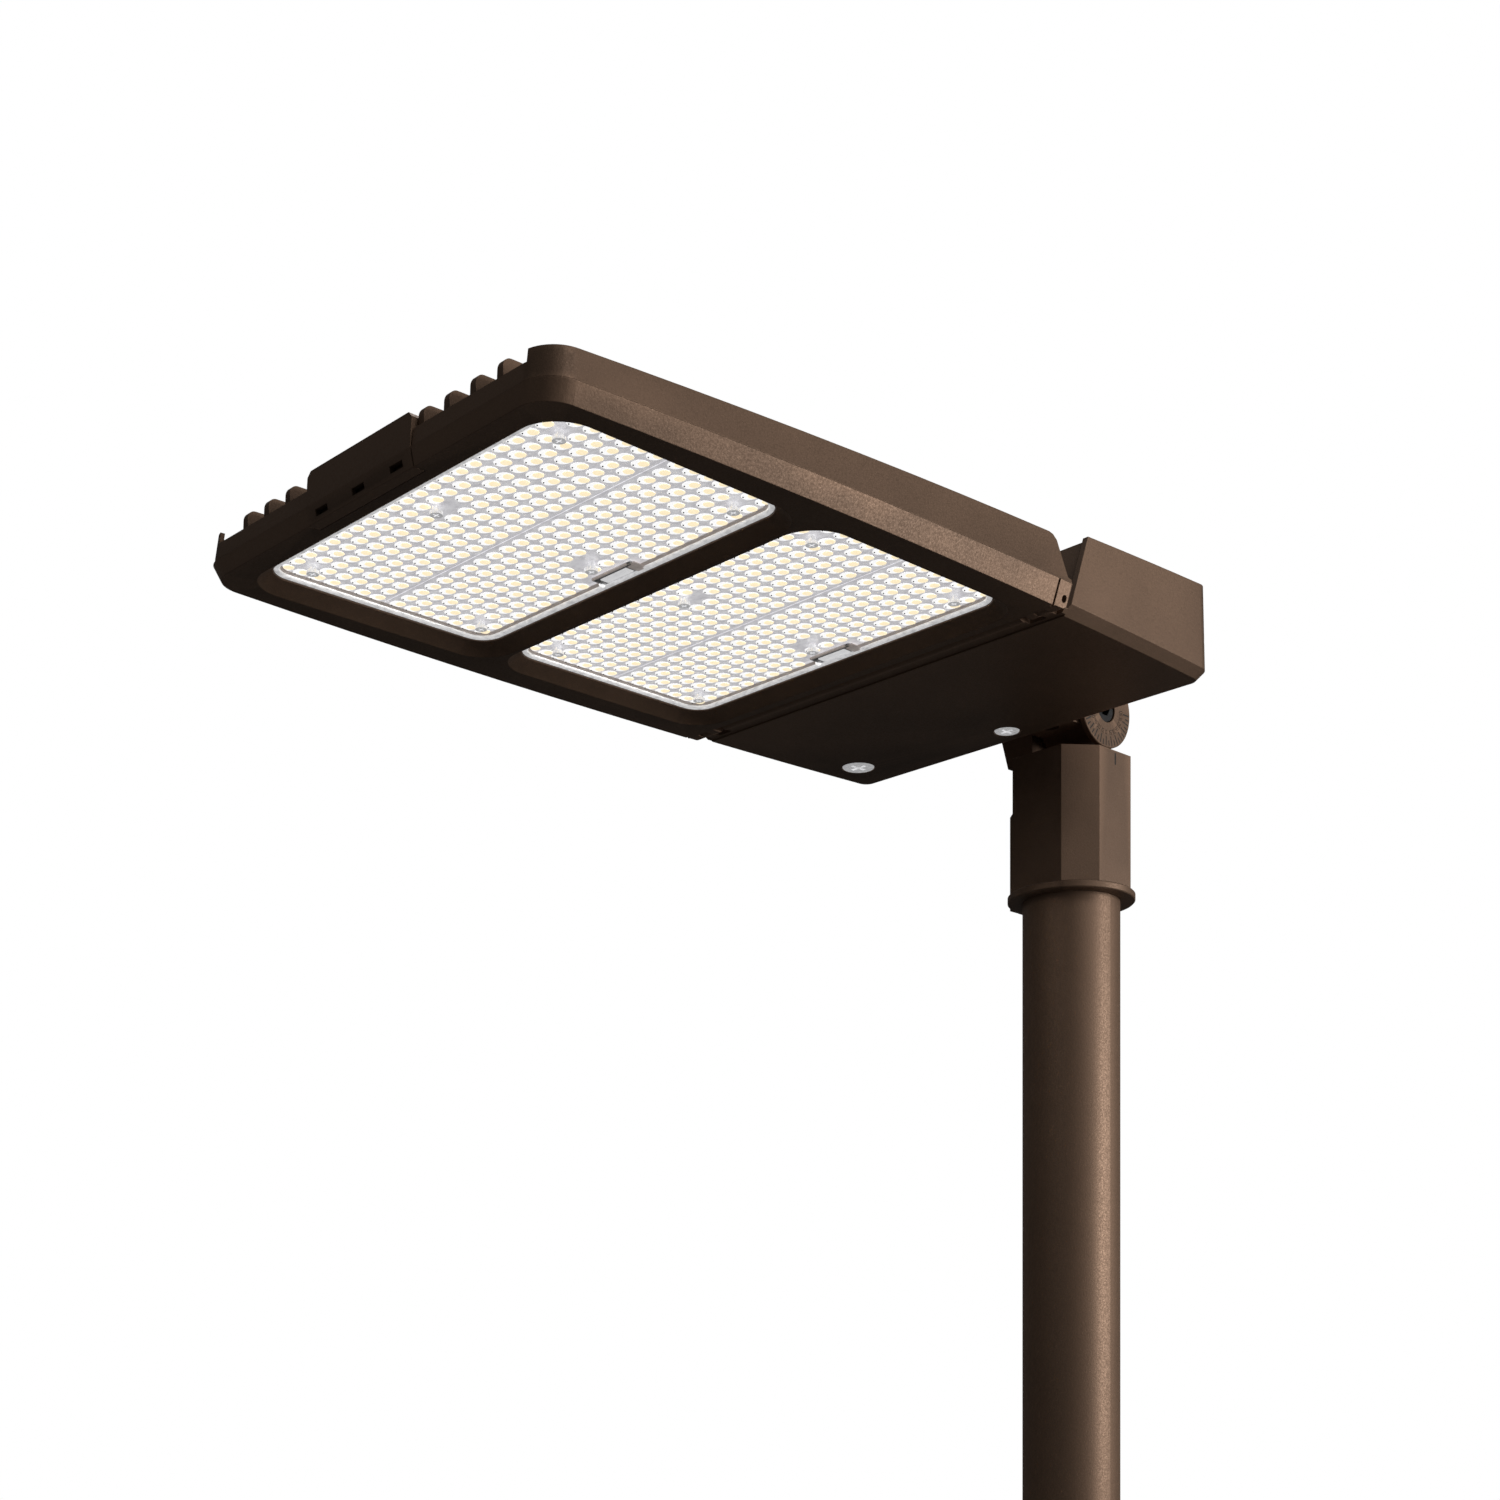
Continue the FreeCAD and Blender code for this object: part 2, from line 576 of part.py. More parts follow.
def spigot(inset, z):
    """Slab inside the rim that centres the heat sink in the bezel frame."""
    half = HEAD_HALF_WIDTH + TIER_FLARE - inset
    front, rear = HEAD_FRONT_Y - TIER_FLARE_FRONT + inset, HEAD_REAR_Y - inset
    radii = corner_radii(inset)
    return bowed_slab((half, front, rear, radii, z[0]), (half, front, rear, radii, z[1]))


def make_bezel():
    radii = corner_radii(0)
    lower = bowed_loop(HEAD_HALF_WIDTH, HEAD_FRONT_Y, EAR_REAR_Y, radii, 0)
    upper = on_seam((HEAD_HALF_WIDTH + TIER_FLARE, HEAD_FRONT_Y - TIER_FLARE_FRONT, EAR_REAR_Y,
                     radii, TIER_HEIGHT))
    body = Part.makeLoft([lower, upper], True, True)
    behind = block((-OUTER_EAR_X, OUTER_EAR_X), (HEAD_REAR_Y, EAR_REAR_Y + 1), (-1, BASE_TOP))
    below = block((-FAR, FAR), (HINGE_Y, EAR_REAR_Y + 1), (-1, HINGE_Z))
    below = below.cut(rod(HINGE_R, (-FAR, HINGE_Y, HINGE_Z), (FAR, HINGE_Y, HINGE_Z)))
    shallow = block((-FAR, FAR), (HEAD_REAR_Y, HINGE_Y), (-1, HINGE_Z - HINGE_R))
    body = cut_all(body, [behind, below, shallow])
    ears = []
    for x in both_sides(INNER_EAR_X):
        ears.append(rod(HINGE_R, (x[0], HINGE_Y, HINGE_Z), (x[1], HINGE_Y, HINGE_Z)))
        ears.append(block(x, (HEAD_REAR_Y - 2, HINGE_Y), (HINGE_Z - HINGE_R, HINGE_Z + HINGE_R)))
    body = joined([body] + ears)
    tools = [spigot(SPIGOT_INSET, (BASE_BOTTOM - SEAM, BASE_TOP))]
    tools.append(tongue(1.0, (BASE_BOTTOM - SEAM, BASE_TOP)))
    lens_room = BEVEL - LENS_LAP - FIT_GAP
    for span in window_spans():
        lip_r = WINDOW_CORNER_R - BEVEL
        tools.append(window_funnel(span))
        tools.append(window_slab(span, BEVEL, (BEVEL_DEPTH - 0.01, LENS_BOTTOM), lip_r))
        tools.append(window_slab(span, lens_room, (LENS_BOTTOM, BASE_TOP), lip_r + LENS_LAP))
    ahead, width, depth = SIDE_SLOT
    for x in both_sides((HEAD_HALF_WIDTH - depth, FAR)):
        y = HEAD_REAR_Y - ahead
        tools.append(block(x, (y - width / 2, y + width / 2), (-1, BASE_TOP)))
    for side in (-1, 1):
        tools.append(rod(HINGE_PIN_R, (side * pin_limits()[0], HINGE_Y, HINGE_Z),
                         (side * FAR, HINGE_Y, HINGE_Z)))
    tools += [rod(FRAME_SCREW_R, (x, y, 4), (x, y, BASE_TOP)) for x, y in frame_screw_places()]
    tools += cover_pocket()
    tools += [rod(COVER_SCREW_R, (x, y, BASE_BOTTOM - 3), (x, y, BASE_TOP)) for x, y in cover_screw_places()]
    return cut_all(body, tools)


def pin_limits():
    """Inner and outer x of a hinge pin, short of the ear's outer face."""
    return INNER_EAR_X[0] + 2, HEAD_HALF_WIDTH - 3


def frame_screw_places():
    x = HEAD_HALF_WIDTH - FRAME_SCREW_INSET
    front, rear = HEAD_FRONT_Y + FRAME_SCREW_MARGIN, HEAD_REAR_Y - FRAME_SCREW_MARGIN
    return [(side * x, y) for side in (-1, 1) for y in (front, (front + rear) / 2, rear)]


def line_z(y, front_z, rear_z):
    """Height at y of a line that climbs from the housing's front to its rear."""
    return front_z + (rear_z - front_z) * (y - HEAD_FRONT_Y) / HOUSING_LENGTH


def tongue(grow, z):
    """Rear edge of the base plate, between the hinge ears."""
    half = HEAD_HALF_WIDTH - TRAY_SIDE_MARGIN + 2 + grow
    return block((-half, half), (HEAD_REAR_Y - SPIGOT_INSET - 1, HEAD_REAR_Y + 9), z)


def above_rim():
    """Everything above the climbing rim, whose rear end comes down in a rounded slope."""
    def top(y):
        return line_z(y, RIM_FRONT_HEIGHT, RIM_REAR_HEIGHT)
    y0, y1, high = HEAD_FRONT_Y - 20, HEAD_REAR_Y, 2 * RIM_TOP_LEVEL
    rear = [(y1 - 6.4, top(y1 - 6.4)), (y1 - 3.2, top(y1) - 0.9), (y1 - 0.4, top(y1) - 3.2),
            (y1 + 6, BASE_TOP - 0.6), (y1 + 8.2, BASE_TOP - 1.2), (y1 + 20, BASE_TOP - 1.2)]
    return side_prism([(y0, top(y0))] + rear + [(y1 + 20, high), (y0, high)], (-FAR, FAR))


def make_heat_sink():
    half, front = HEAD_HALF_WIDTH + TIER_FLARE - RIM_STEP, HEAD_FRONT_Y - TIER_FLARE_FRONT + RIM_STEP
    lean = RIM_LEAN
    radii = corner_radii(0)
    low = on_seam((half, front, EAR_REAR_Y, radii, TIER_HEIGHT + SEAM))
    high = bowed_loop(half - lean, front + lean, EAR_REAR_Y, radii, RIM_TOP_LEVEL)
    shell = Part.makeLoft([low, high], True, True)
    inner_radii = corner_radii(RIM_WALL)
    inside = (half - RIM_WALL, front + RIM_WALL, 0, inner_radii, BASE_TOP)
    inside_high = (half - lean - RIM_WALL, front + lean + RIM_WALL, 0, inner_radii, RIM_TOP_LEVEL + 1)
    under = spigot(SPIGOT_INSET + SEAM, (HINGE_Z, BASE_BOTTOM))
    tall_x = HEAD_HALF_WIDTH - TALL_RIM_SIDE
    low_front = block((-tall_x, tall_x), (HEAD_FRONT_Y - 20, HEAD_FRONT_Y + 30),
                      (FRONT_WALL_HEIGHT, 2 * RIM_TOP_LEVEL))
    behind = block((-OUTER_EAR_X, OUTER_EAR_X), (HEAD_REAR_Y, EAR_REAR_Y + 1), (0, 2 * RIM_TOP_LEVEL))
    body = cut_all(shell, [bowed_slab(inside, inside_high), under, above_rim(), low_front, behind])
    plate = spigot(SPIGOT_INSET + SEAM, (BASE_BOTTOM, BASE_TOP))
    body = joined([body, plate, tongue(0, (BASE_BOTTOM, BASE_TOP))] + make_fins())
    tools = [rod(FRAME_SCREW_R, (x, y, 8), (x, y, BASE_TOP)) for x, y in frame_screw_places()]
    tools += [rod(TRAY_SCREW_R, (x, y, 8), (x, y, BASE_TOP)) for x, y in tray_screw_places()]
    tools += [rod(LEAD_R + 1, (x, y, 8), (x, y, BASE_TOP)) for x, y in lead_drops()]
    tools += [rod(MODULE_SCREW_R, (x, y, BOARD_BOTTOM), (x, y, BASE_TOP - 1)) for x, y in module_screw_places()]
    tools += [rod(COVER_SCREW_R, (x, y, 8), (x, y, BASE_TOP)) for x, y in cover_screw_places()]
    return cut_all(body, tools + cover_pocket())


def fin_places():
    outer = HEAD_HALF_WIDTH - FIN_SIDE
    pitch = (outer - FIN_FIRST_X) / (FINS_PER_SIDE - 1)
    return [side * (FIN_FIRST_X + pitch * i) for side in (-1, 1) for i in range(FINS_PER_SIDE)]


def make_fins():
    """Lengthwise tapering blades with a rounded front shoulder, shorter behind the cover."""
    front, rear = HEAD_FRONT_Y + FIN_FRONT_SETBACK, HEAD_REAR_Y - FIN_REAR_SETBACK
    form = side_prism([(front, BASE_TOP - 0.5), (rear, BASE_TOP - 0.5), (rear, FIN_REAR_TOP),
                       (front, FIN_FRONT_TOP)], (-FAR, FAR))
    shoulder = [e for e in form.Edges if abs(e.CenterOfMass.y - front) < 0.1
                and abs(e.CenterOfMass.z - FIN_FRONT_TOP) < 0.1]
    form = form.makeFillet(FIN_NOSE_R, shoulder)
    foot, tip, foot_z = FIN_FOOT_THICK / 2, FIN_TIP_THICK / 2, BASE_TOP - 0.5
    fins = []
    for x in fin_places():
        start = front - 1
        if abs(x) < COVER_HALF_WIDTH + COVER_GAP:
            start = HEAD_FRONT_Y + COVER_DEPTH + 3
        bar = prism([(x - foot, start, foot_z), (x + foot, start, foot_z), (x + tip, start, FIN_REAR_TOP),
                     (x - tip, start, FIN_REAR_TOP)], (0, rear - start + 1, 0))
        fins.append(bar.common(form))
    return fins


def make_frame_screws():
    screws = [pan_screw(x, y, BASE_TOP, FRAME_SCREW_R, 10) for x, y in frame_screw_places()]
    return Part.makeCompound(screws)


def pan_screw(x, y, top, radius, length):
    """Pan-head screw driven downwards, its head resting on the level top."""
    head_r = 1.8 * radius
    shank = rod(radius, (x, y, top - length), (x, y, top))
    head = rod(head_r, (x, y, top), (x, y, top + 2))
    slot = phillips_recess(x, y, top + 1, head_r * 1.2, 2)
    return joined([shank, head]).cut(slot)


# --- Optical modules ------------------------------------------------------------------------
LENS_INSET = BEVEL - LENS_LAP
LENS_CORNER_R = WINDOW_CORNER_R - BEVEL + LENS_LAP


def module_screw_holes():
    radius = MODULE_SCREW_R + MODULE_SCREW_CLEARANCE
    return [rod(radius, (x, y, 0), (x, y, BASE_TOP)) for x, y in module_screw_places()]


def make_lens(span):
    plate = window_slab(span, LENS_INSET, (LENS_BOTTOM, LENS_TOP), LENS_CORNER_R)
    return cut_all(plate, module_screw_holes())


def make_board(span):
    plate = window_slab(span, LENS_INSET + GASKET_W + 1.0, (BOARD_BOTTOM, BASE_BOTTOM), BOARD_CORNER_R)
    leads = [rod(LEAD_R + 0.5, (x, y, 0), (x, y, BASE_TOP)) for x, y in lead_drops()]
    return cut_all(plate, module_screw_holes() + leads)


def make_gasket(span):
    outer = window_slab(span, LENS_INSET, (LENS_TOP, BASE_BOTTOM), LENS_CORNER_R)
    inner = window_slab(span, LENS_INSET + GASKET_W, (LENS_TOP - 1, BASE_BOTTOM + 1), LENS_CORNER_R - GASKET_W)
    return outer.cut(inner)


def module_screw_places():
    """Three screws along the front and rear of each window, the middle ones a little further in."""
    places = []
    side = WINDOW_HALF_WIDTH - MODULE_SCREW_SIDE
    for x, edge in ((-side, MODULE_SCREW_EDGE), (0, MODULE_SCREW_MID_EDGE), (side, MODULE_SCREW_EDGE)):
        for y0, y1 in window_spans():
            places += [(x, y0 + BEVEL + edge), (x, y1 - BEVEL - edge)]
    return places


def make_module_screws():
    screws = []
    for x, y in module_screw_places():
        shank = rod(MODULE_SCREW_R, (x, y, LENS_BOTTOM), (x, y, BASE_TOP - 1))
        head = rod(3.2, (x, y, LENS_BOTTOM - 1.8), (x, y, LENS_BOTTOM))
        recess = phillips_recess(x, y, LENS_BOTTOM - 2.8, 3.6, 2)
        screws.append(joined([shank, head]).cut(recess))
    return Part.makeCompound(screws)


# --- Front access cover ---------------------------------------------------------------------
COVER_FOOT_Y = HEAD_FRONT_Y - COVER_PROUD
COVER_SEAM_Y = COVER_FOOT_Y - TIER_FLARE_FRONT
COVER_BACK_Y = HEAD_FRONT_Y + COVER_DEPTH


def cover_pocket():
    """Room for the cover's front plate, its lip under the head and its box on the heat sink."""
    x = (-COVER_HALF_WIDTH - COVER_GAP, COVER_HALF_WIDTH + COVER_GAP)
    ahead = HEAD_FRONT_Y - 20
    return [block(x, (ahead, COVER_FOOT_Y + COVER_WALL + COVER_GAP), (-1, BASE_TOP + 1)),
            block(x, (ahead, HEAD_FRONT_Y + COVER_LIP + COVER_GAP), (-1, COVER_WALL + COVER_GAP)),
            block(x, (ahead, COVER_BACK_Y + COVER_GAP), (BASE_TOP, 2 * RIM_TOP_LEVEL))]


def make_front_cover():
    w, t, c, top = COVER_HALF_WIDTH, COVER_WALL, COVER_CORNER, COVER_TOP
    lean_y = COVER_SEAM_Y + COVER_LEAN
    lip_y = HEAD_FRONT_Y + COVER_LIP
    plate = side_prism([(COVER_FOOT_Y, 0), (COVER_SEAM_Y, TIER_HEIGHT), (lean_y, top), (lean_y + t, top),
                        (COVER_SEAM_Y + t, TIER_HEIGHT), (COVER_FOOT_Y + t, t), (lip_y, t), (lip_y, 0)], (-w, w))

    def box(inset, y, base):
        half, high, cut = w - inset, top - inset, c - 0.6 * inset
        points = [(-half, base), (half, base), (half, high - cut), (half - cut, high),
                  (cut - half, high), (-half, high - cut)]
        return prism([(x, y[0], z) for x, z in points], (0, y[1] - y[0], 0))

    shell = box(0, (lean_y + t / 2, COVER_BACK_Y), BASE_TOP)
    hollow = box(t, (lean_y + t, COVER_BACK_Y - t), BASE_TOP - 1)
    far, high = COVER_SEAM_Y - 1, top + 1
    corners = [prism([(side * (w - c - 1), far, high), (side * (w + 1), far, high),
                      (side * (w + 1), far, top - c - 1)], (0, 10, 0)) for side in (-1, 1)]
    wide, tall = COVER_SLOT
    slots = []
    for i in (-1, 0, 1):
        x = i * COVER_SLOT_PITCH
        slots.append(block((x - wide / 2, x + wide / 2), (COVER_SEAM_Y - 1, COVER_FOOT_Y + t + 1),
                           (t, t + tall)))
    screws = [rod(COVER_SCREW_R, (x, y, 8), (x, y, top + 1)) for x, y in cover_screw_places()]
    return cut_all(joined([plate, shell]), [hollow] + corners + slots + screws)


def cover_screw_places():
    return [(side * (COVER_HALF_WIDTH - 9), HEAD_FRONT_Y + 9) for side in (-1, 1)]


def make_cover_screws():
    length = COVER_TOP - BASE_BOTTOM + 3
    screws = [pan_screw(x, y, COVER_TOP, COVER_SCREW_R, length) for x, y in cover_screw_places()]
    return Part.makeCompound(screws)


# --- Driver compartment ---------------------------------------------------------------------
def door_outline(inset, z, front):
    radii = (0.5, max(DOOR_CORNER_R - inset, 1.0))
    return (HEAD_HALF_WIDTH - inset, front, DOOR_REAR_Y - inset, radii, z)


def bay_top(y, drop):
    """Height of the compartment's sloping top at y, lowered by drop."""
    return DOOR_TOP_REAR + DOOR_TOP_SLOPE * (y - DOOR_REAR_Y) - drop


def above_bay(drop):
    """Everything above the compartment's sloping top, lowered by drop."""
    y0, y1 = HINGE_Y - 60, DOOR_REAR_Y + 60
    high = 2 * DOOR_TOP_REAR
    return side_prism([(y0, bay_top(y0, drop)), (y1, bay_top(y1, drop)), (y1, high), (y0, high)], (-FAR, FAR))


def rake_y(z):
    """Y of the raked front line at height z."""
    return RAKE_LOW_Y + RAKE_RATIO * (z - DOOR_WALL)


def ahead_of_rake(shift):
    """Everything above the door's floor and ahead of the raked front line, moved back by shift."""
    high = 2 * DOOR_TOP_REAR
    return side_prism([(rake_y(DOOR_WALL) + shift, DOOR_WALL), (rake_y(high) + shift, high),
                       (HINGE_Y - 60, high), (HINGE_Y - 60, DOOR_WALL)], (-FAR, FAR))


def make_door():
    top, w, gap = DOOR_TOP_REAR + 6, DOOR_WALL, HINGE_SIDE_GAP
    lower = bowed_slab(door_outline(DOOR_CHAMFER, 0, HINGE_Y), door_outline(0, DOOR_CHAMFER, HINGE_Y))
    upper = bowed_slab(door_outline(0, DOOR_CHAMFER, HINGE_Y), door_outline(DOOR_DRAFT, top, HINGE_Y))
    inset, ahead = w + DOOR_DRAFT, HINGE_Y - 40
    hollow = bowed_slab(door_outline(inset, w, ahead), door_outline(inset, top, ahead))
    notch = block((-NOTCH_HALF, NOTCH_HALF), (DOOR_REAR_Y - 12, DOOR_REAR_Y + 2), (NOTCH_FLOOR, top))
    band = block((-FAR, FAR), (HINGE_Y - 1, HINGE_Y + BAND_WIDTH), (-1, BAND_DEPTH))
    tub = cut_all(joined([lower, upper]), [hollow, above_bay(0), ahead_of_rake(0), notch, band])
    runs = [(-RELIEF_X, RELIEF_X)] + both_sides((INNER_EAR_X[1] + gap, OUTER_EAR_X - gap))
    rolls = [rod(HINGE_R, (a, HINGE_Y, HINGE_Z), (b, HINGE_Y, HINGE_Z)) for a, b in runs]
    behind = (HINGE_Y - HINGE_R - 1, EAR_REAR_Y + HINGE_RELIEF)
    reliefs = both_sides((RELIEF_X, INNER_EAR_X[1] + gap)) + both_sides((OUTER_EAR_X - gap, FAR))
    tub = cut_all(tub, [block(x, behind, (-1, BASE_TOP)) for x in reliefs])
    tub = joined([tub] + rolls)
    tools = []
    for side in (-1, 1):
        tools.append(rod(HINGE_PIN_R + HINGE_RUN, (side * INNER_EAR_X[0], HINGE_Y, HINGE_Z),
                         (side * FAR, HINGE_Y, HINGE_Z)))
    for x, y, r in DOOR_SCREWS.values():
        tools.append(rod(DOOR_SCREW_SHANK_R + 0.4, (x, y, -1), (x, y, w + 1)))
        tools.append(rod(r + 0.6, (x, y, -1), (x, y, DOOR_SCREW_HEAD_H)))
    return cut_all(tub, tools)


def make_tray():
    """Fixed upside-down tray that carries the drivers and closes the door's open top."""
    w, foot, high = TRAY_WALL, TRAY_FOOT, DOOR_TOP_REAR + 6

    def slab(extra, base):
        inset = TRAY_INSET + extra
        half, rear = HEAD_HALF_WIDTH - inset, TRAY_REAR_Y - extra
        radii = (0.5, max(DOOR_CORNER_R - inset, 1.0))
        return bowed_slab((half, HINGE_Y - 30, rear, radii, base), (half, HINGE_Y - 30, rear, radii, high))

    outer = cut_all(slab(0, foot), [above_bay(TRAY_GAP), ahead_of_rake(TRAY_GAP)])
    inner = cut_all(slab(w, foot - 1), [above_bay(TRAY_GAP + w), ahead_of_rake(TRAY_GAP + w)])
    body = outer.cut(inner)
    half = HEAD_HALF_WIDTH - TRAY_SIDE_MARGIN
    apron = block((-half, half), (HEAD_REAR_Y - FIN_REAR_SETBACK + 2, rake_y(BASE_TOP) + TRAY_GAP + w / 2),
                  (BASE_TOP, BASE_TOP + APRON_THICK))
    posts = [rod(POST_R, (x, y, foot + 4), (x, y, high)) for x, y, r in DOOR_SCREWS.values()]
    posts = [post.cut(above_bay(TRAY_GAP + w / 2)) for post in posts]
    body = joined([body, apron] + posts)
    bore = DOOR_SCREW_SHANK_R + POST_ROOM
    tools = [rod(bore, (x, y, 0), (x, y, foot + 20)) for x, y, r in DOOR_SCREWS.values()]
    tools += [rod(TRAY_SCREW_R, (x, y, 8), (x, y, 30)) for x, y in tray_screw_places()]
    near, past = TRAY_REAR_Y - w - 1, TRAY_REAR_Y + 1
    tools += [rod(ARM_BOLT_R, (x, near, h), (x, past, h)) for x, h in arm_bolt_places()]
    tools.append(rod(ARM_WIRE_R, (ARM_WIRE_X, near, ARM_WIRE_Z), (ARM_WIRE_X, past, ARM_WIRE_Z)))
    middle = rake_y(LEAD_Z)
    tools.append(rod(GROMMET_R, (0, middle - 20, LEAD_Z), (0, middle + 20, LEAD_Z)))
    tools += [rod(DRIVER_SCREW_R, (x, y, bay_ceiling(y) - 1), (x, y, high)) for x, y in driver_screw_places()]
    return cut_all(body, tools)


def tray_screw_places():
    y, outer = HEAD_REAR_Y - SPIGOT_INSET, HEAD_HALF_WIDTH - TRAY_SIDE_MARGIN - 13
    return [(side * x, y) for side in (-1, 1) for x in (outer, outer / 3)]


def make_tray_screws():
    top = BASE_TOP + APRON_THICK
    screws = [pan_screw(x, y, top, TRAY_SCREW_R, APRON_THICK + 3.5) for x, y in tray_screw_places()]
    return Part.makeCompound(screws)


def make_door_gasket():
    """Foam strip on the door's floor, under the tray's wall."""
    front = rake_y(TRAY_FOOT) + TRAY_GAP

    def slab(extra, z):
        inset = TRAY_INSET - 0.5 + extra
        radii = (1.0, max(DOOR_CORNER_R - inset, 1.0))
        args = (HEAD_HALF_WIDTH - inset, front + extra, TRAY_REAR_Y - extra, radii)
        return bowed_slab(args + (z[0],), args + (z[1],))

    ring = slab(0, (DOOR_WALL, TRAY_FOOT - DOOR_GASKET_GAP))
    return ring.cut(slab(DOOR_GASKET_W, (DOOR_WALL - 1, TRAY_FOOT)))


def make_door_screw(x, y, r):
    """Captive screw: broad flat head under the door, shank up into the tray's post."""
    h = DOOR_SCREW_HEAD_H
    head = rod(r, (x, y, 0.0), (x, y, h))
    head = head.makeChamfer(0.4, [e for e in head.Edges if e.Closed and e.BoundBox.ZMax < 0.1])
    shank = rod(DOOR_SCREW_SHANK_R, (x, y, h), (x, y, TRAY_FOOT + 14))
    return joined([head, shank]).cut(phillips_recess(x, y, -1, r * 1.15, 1.8))


def make_hinge_pins():
    inner, outer = pin_limits()
    pins = [rod(HINGE_PIN_R, (a, HINGE_Y, HINGE_Z), (b, HINGE_Y, HINGE_Z))
            for a, b in both_sides((inner, outer))]
    return Part.makeCompound(pins)


# --- Drivers and wiring ---------------------------------------------------------------------
DRIVER_LENGTH = 2 * HEAD_HALF_WIDTH - DRIVER_SIDE_ROOM


def lead_drops():
    """Where each module's lead goes down through the heat sink, front module first."""
    spans = window_spans()
    return [(-LEAD_SPREAD, spans[1][1] - LEAD_DROP), (LEAD_SPREAD, spans[0][1] - LEAD_DROP)]


def bay_ceiling(y):
    return bay_top(y, TRAY_GAP + TRAY_WALL)


def bay_front():
    """First clear y behind the raked wall at the ceiling, with room for a screwdriver."""
    return rake_y(bay_ceiling(RAKE_LOW_Y)) + TRAY_GAP + TRAY_WALL + 6


def driver_places():
    """Lower corner of each driver, hung from the tray's top, one behind the other."""
    first = bay_front()
    second = first + DRIVER_DEPTH + DRIVER_SPACING
    x = -DRIVER_LENGTH / 2
    return [(x + DRIVER_SHIFTS[0], first, bay_ceiling(first) - DRIVER_HEIGHT),
            (x + DRIVER_SHIFTS[1], second, bay_ceiling(second) - DRIVER_HEIGHT)]


def make_driver(place):
    """Potted driver in a folded metal case, with a mounting foot at each end."""
    x, y, z = place
    length, depth, top = DRIVER_LENGTH, DRIVER_DEPTH, place[2] + DRIVER_HEIGHT
    case = block((x, x + length), (y, y + depth), (z, top))
    long_edges = [e for e in case.Edges if abs(e.tangentAt(e.FirstParameter).x) > 0.99]
    case = case.makeFillet(2.0, long_edges)
    feet = block((x - DRIVER_FOOT, x + length + DRIVER_FOOT), (y + 6, y + depth - 6), (top - 3, top))
    body = joined([case, feet])
    return cut_all(body, [rod(DRIVER_SCREW_R + 0.4, (u, v, z), (u, v, top + 1)) for u, v in driver_feet(place)])


def driver_feet(place):
    x, y, z = place
    mid = y + DRIVER_DEPTH / 2
    return [(x - DRIVER_FOOT / 2, mid), (x + DRIVER_LENGTH + DRIVER_FOOT / 2, mid)]


def driver_screw_places():
    return [foot for place in driver_places() for foot in driver_feet(place)]


def make_driver_screws():
    screws = []
    for place in driver_places():
        top = place[2] + DRIVER_HEIGHT
        for x, y in driver_feet(place):
            shank = rod(DRIVER_SCREW_R, (x, y, top - 3), (x, y, bay_ceiling(y) + 2))
            head = rod(2 * DRIVER_SCREW_R, (x, y, top - 5), (x, y, top - 3))
            screws.append(joined([shank, head]).cut(phillips_recess(x, y, top - 6, 3.4, 2)))
    return Part.makeCompound(screws)


def make_surge_protector():
    x, y = HEAD_HALF_WIDTH - TRAY_SIDE_MARGIN, bay_front() + 2
    top = bay_ceiling(y)
    body = block((x, x + 28), (y, y + DRIVER_DEPTH - 2), (top - 24, top))
    return body.makeFillet(2.5, [e for e in body.Edges if abs(e.tangentAt(e.FirstParameter).z) > 0.99])


def make_terminal_block():
    """Row of five screw terminals, wire entries to front and back."""
    ways, pitch = 5, 7.6
    x = SIDE_SCREW[0] - HEAD_HALF_WIDTH - ways * pitch / 2
    y = bay_front() + DRIVER_DEPTH + 5
    top = bay_ceiling(y)
    body = block((x, x + ways * pitch), (y, y + 20), (top - 16, top))
    tools = []
    for i in range(ways):
        u = x + pitch * (i + 0.5)
        tools.append(rod(2.4, (u, y + 10, top - 17), (u, y + 10, top - 12)))
        tools.append(rod(1.8, (u, y - 1, top - 9), (u, y + 8, top - 9)))
    return cut_all(body, tools)


def tube_path(points, radius, bend):
    """Solid tube along straight runs joined by tangent arcs of one bend radius."""
    pts = [V(*p) for p in points]
    edges, last = [], pts[0]
    for a, b, c in zip(pts, pts[1:], pts[2:]):
        back, ahead = (a - b).normalize(), (c - b).normalize()
        half = back.getAngle(ahead) / 2
        reach = bend / math.tan(half)
        start, end = b + back * reach, b + ahead * reach
        heart = b + (back + ahead).normalize() * (bend / math.sin(half))
        middle = heart + (b - heart).normalize() * bend
        edges.append(Part.LineSegment(last, start).toShape())
        edges.append(Part.Arc(start, middle, end).toShape())
        last = end
    edges.append(Part.LineSegment(last, pts[-1]).toShape())
    spine = Part.Wire(edges)
    ring = Part.Wire([Part.Circle(pts[0], pts[1] - pts[0], radius).toShape()])
    return spine.makePipeShell([ring], True, True)


def make_module_leads():
    """One lead to each module, through the grommet, between the fins and down to the board."""
    leads = []
    for x, y in lead_drops():
        start = (x, rake_y(LEAD_Z) + 2 * GROMMET_R, LEAD_Z)
        path = [start, (x, y, LEAD_Z), (x, y, BOARD_BOTTOM + 1)]
        leads.append(tube_path(path, LEAD_R, LEAD_BEND_R))
    return Part.makeCompound(leads)


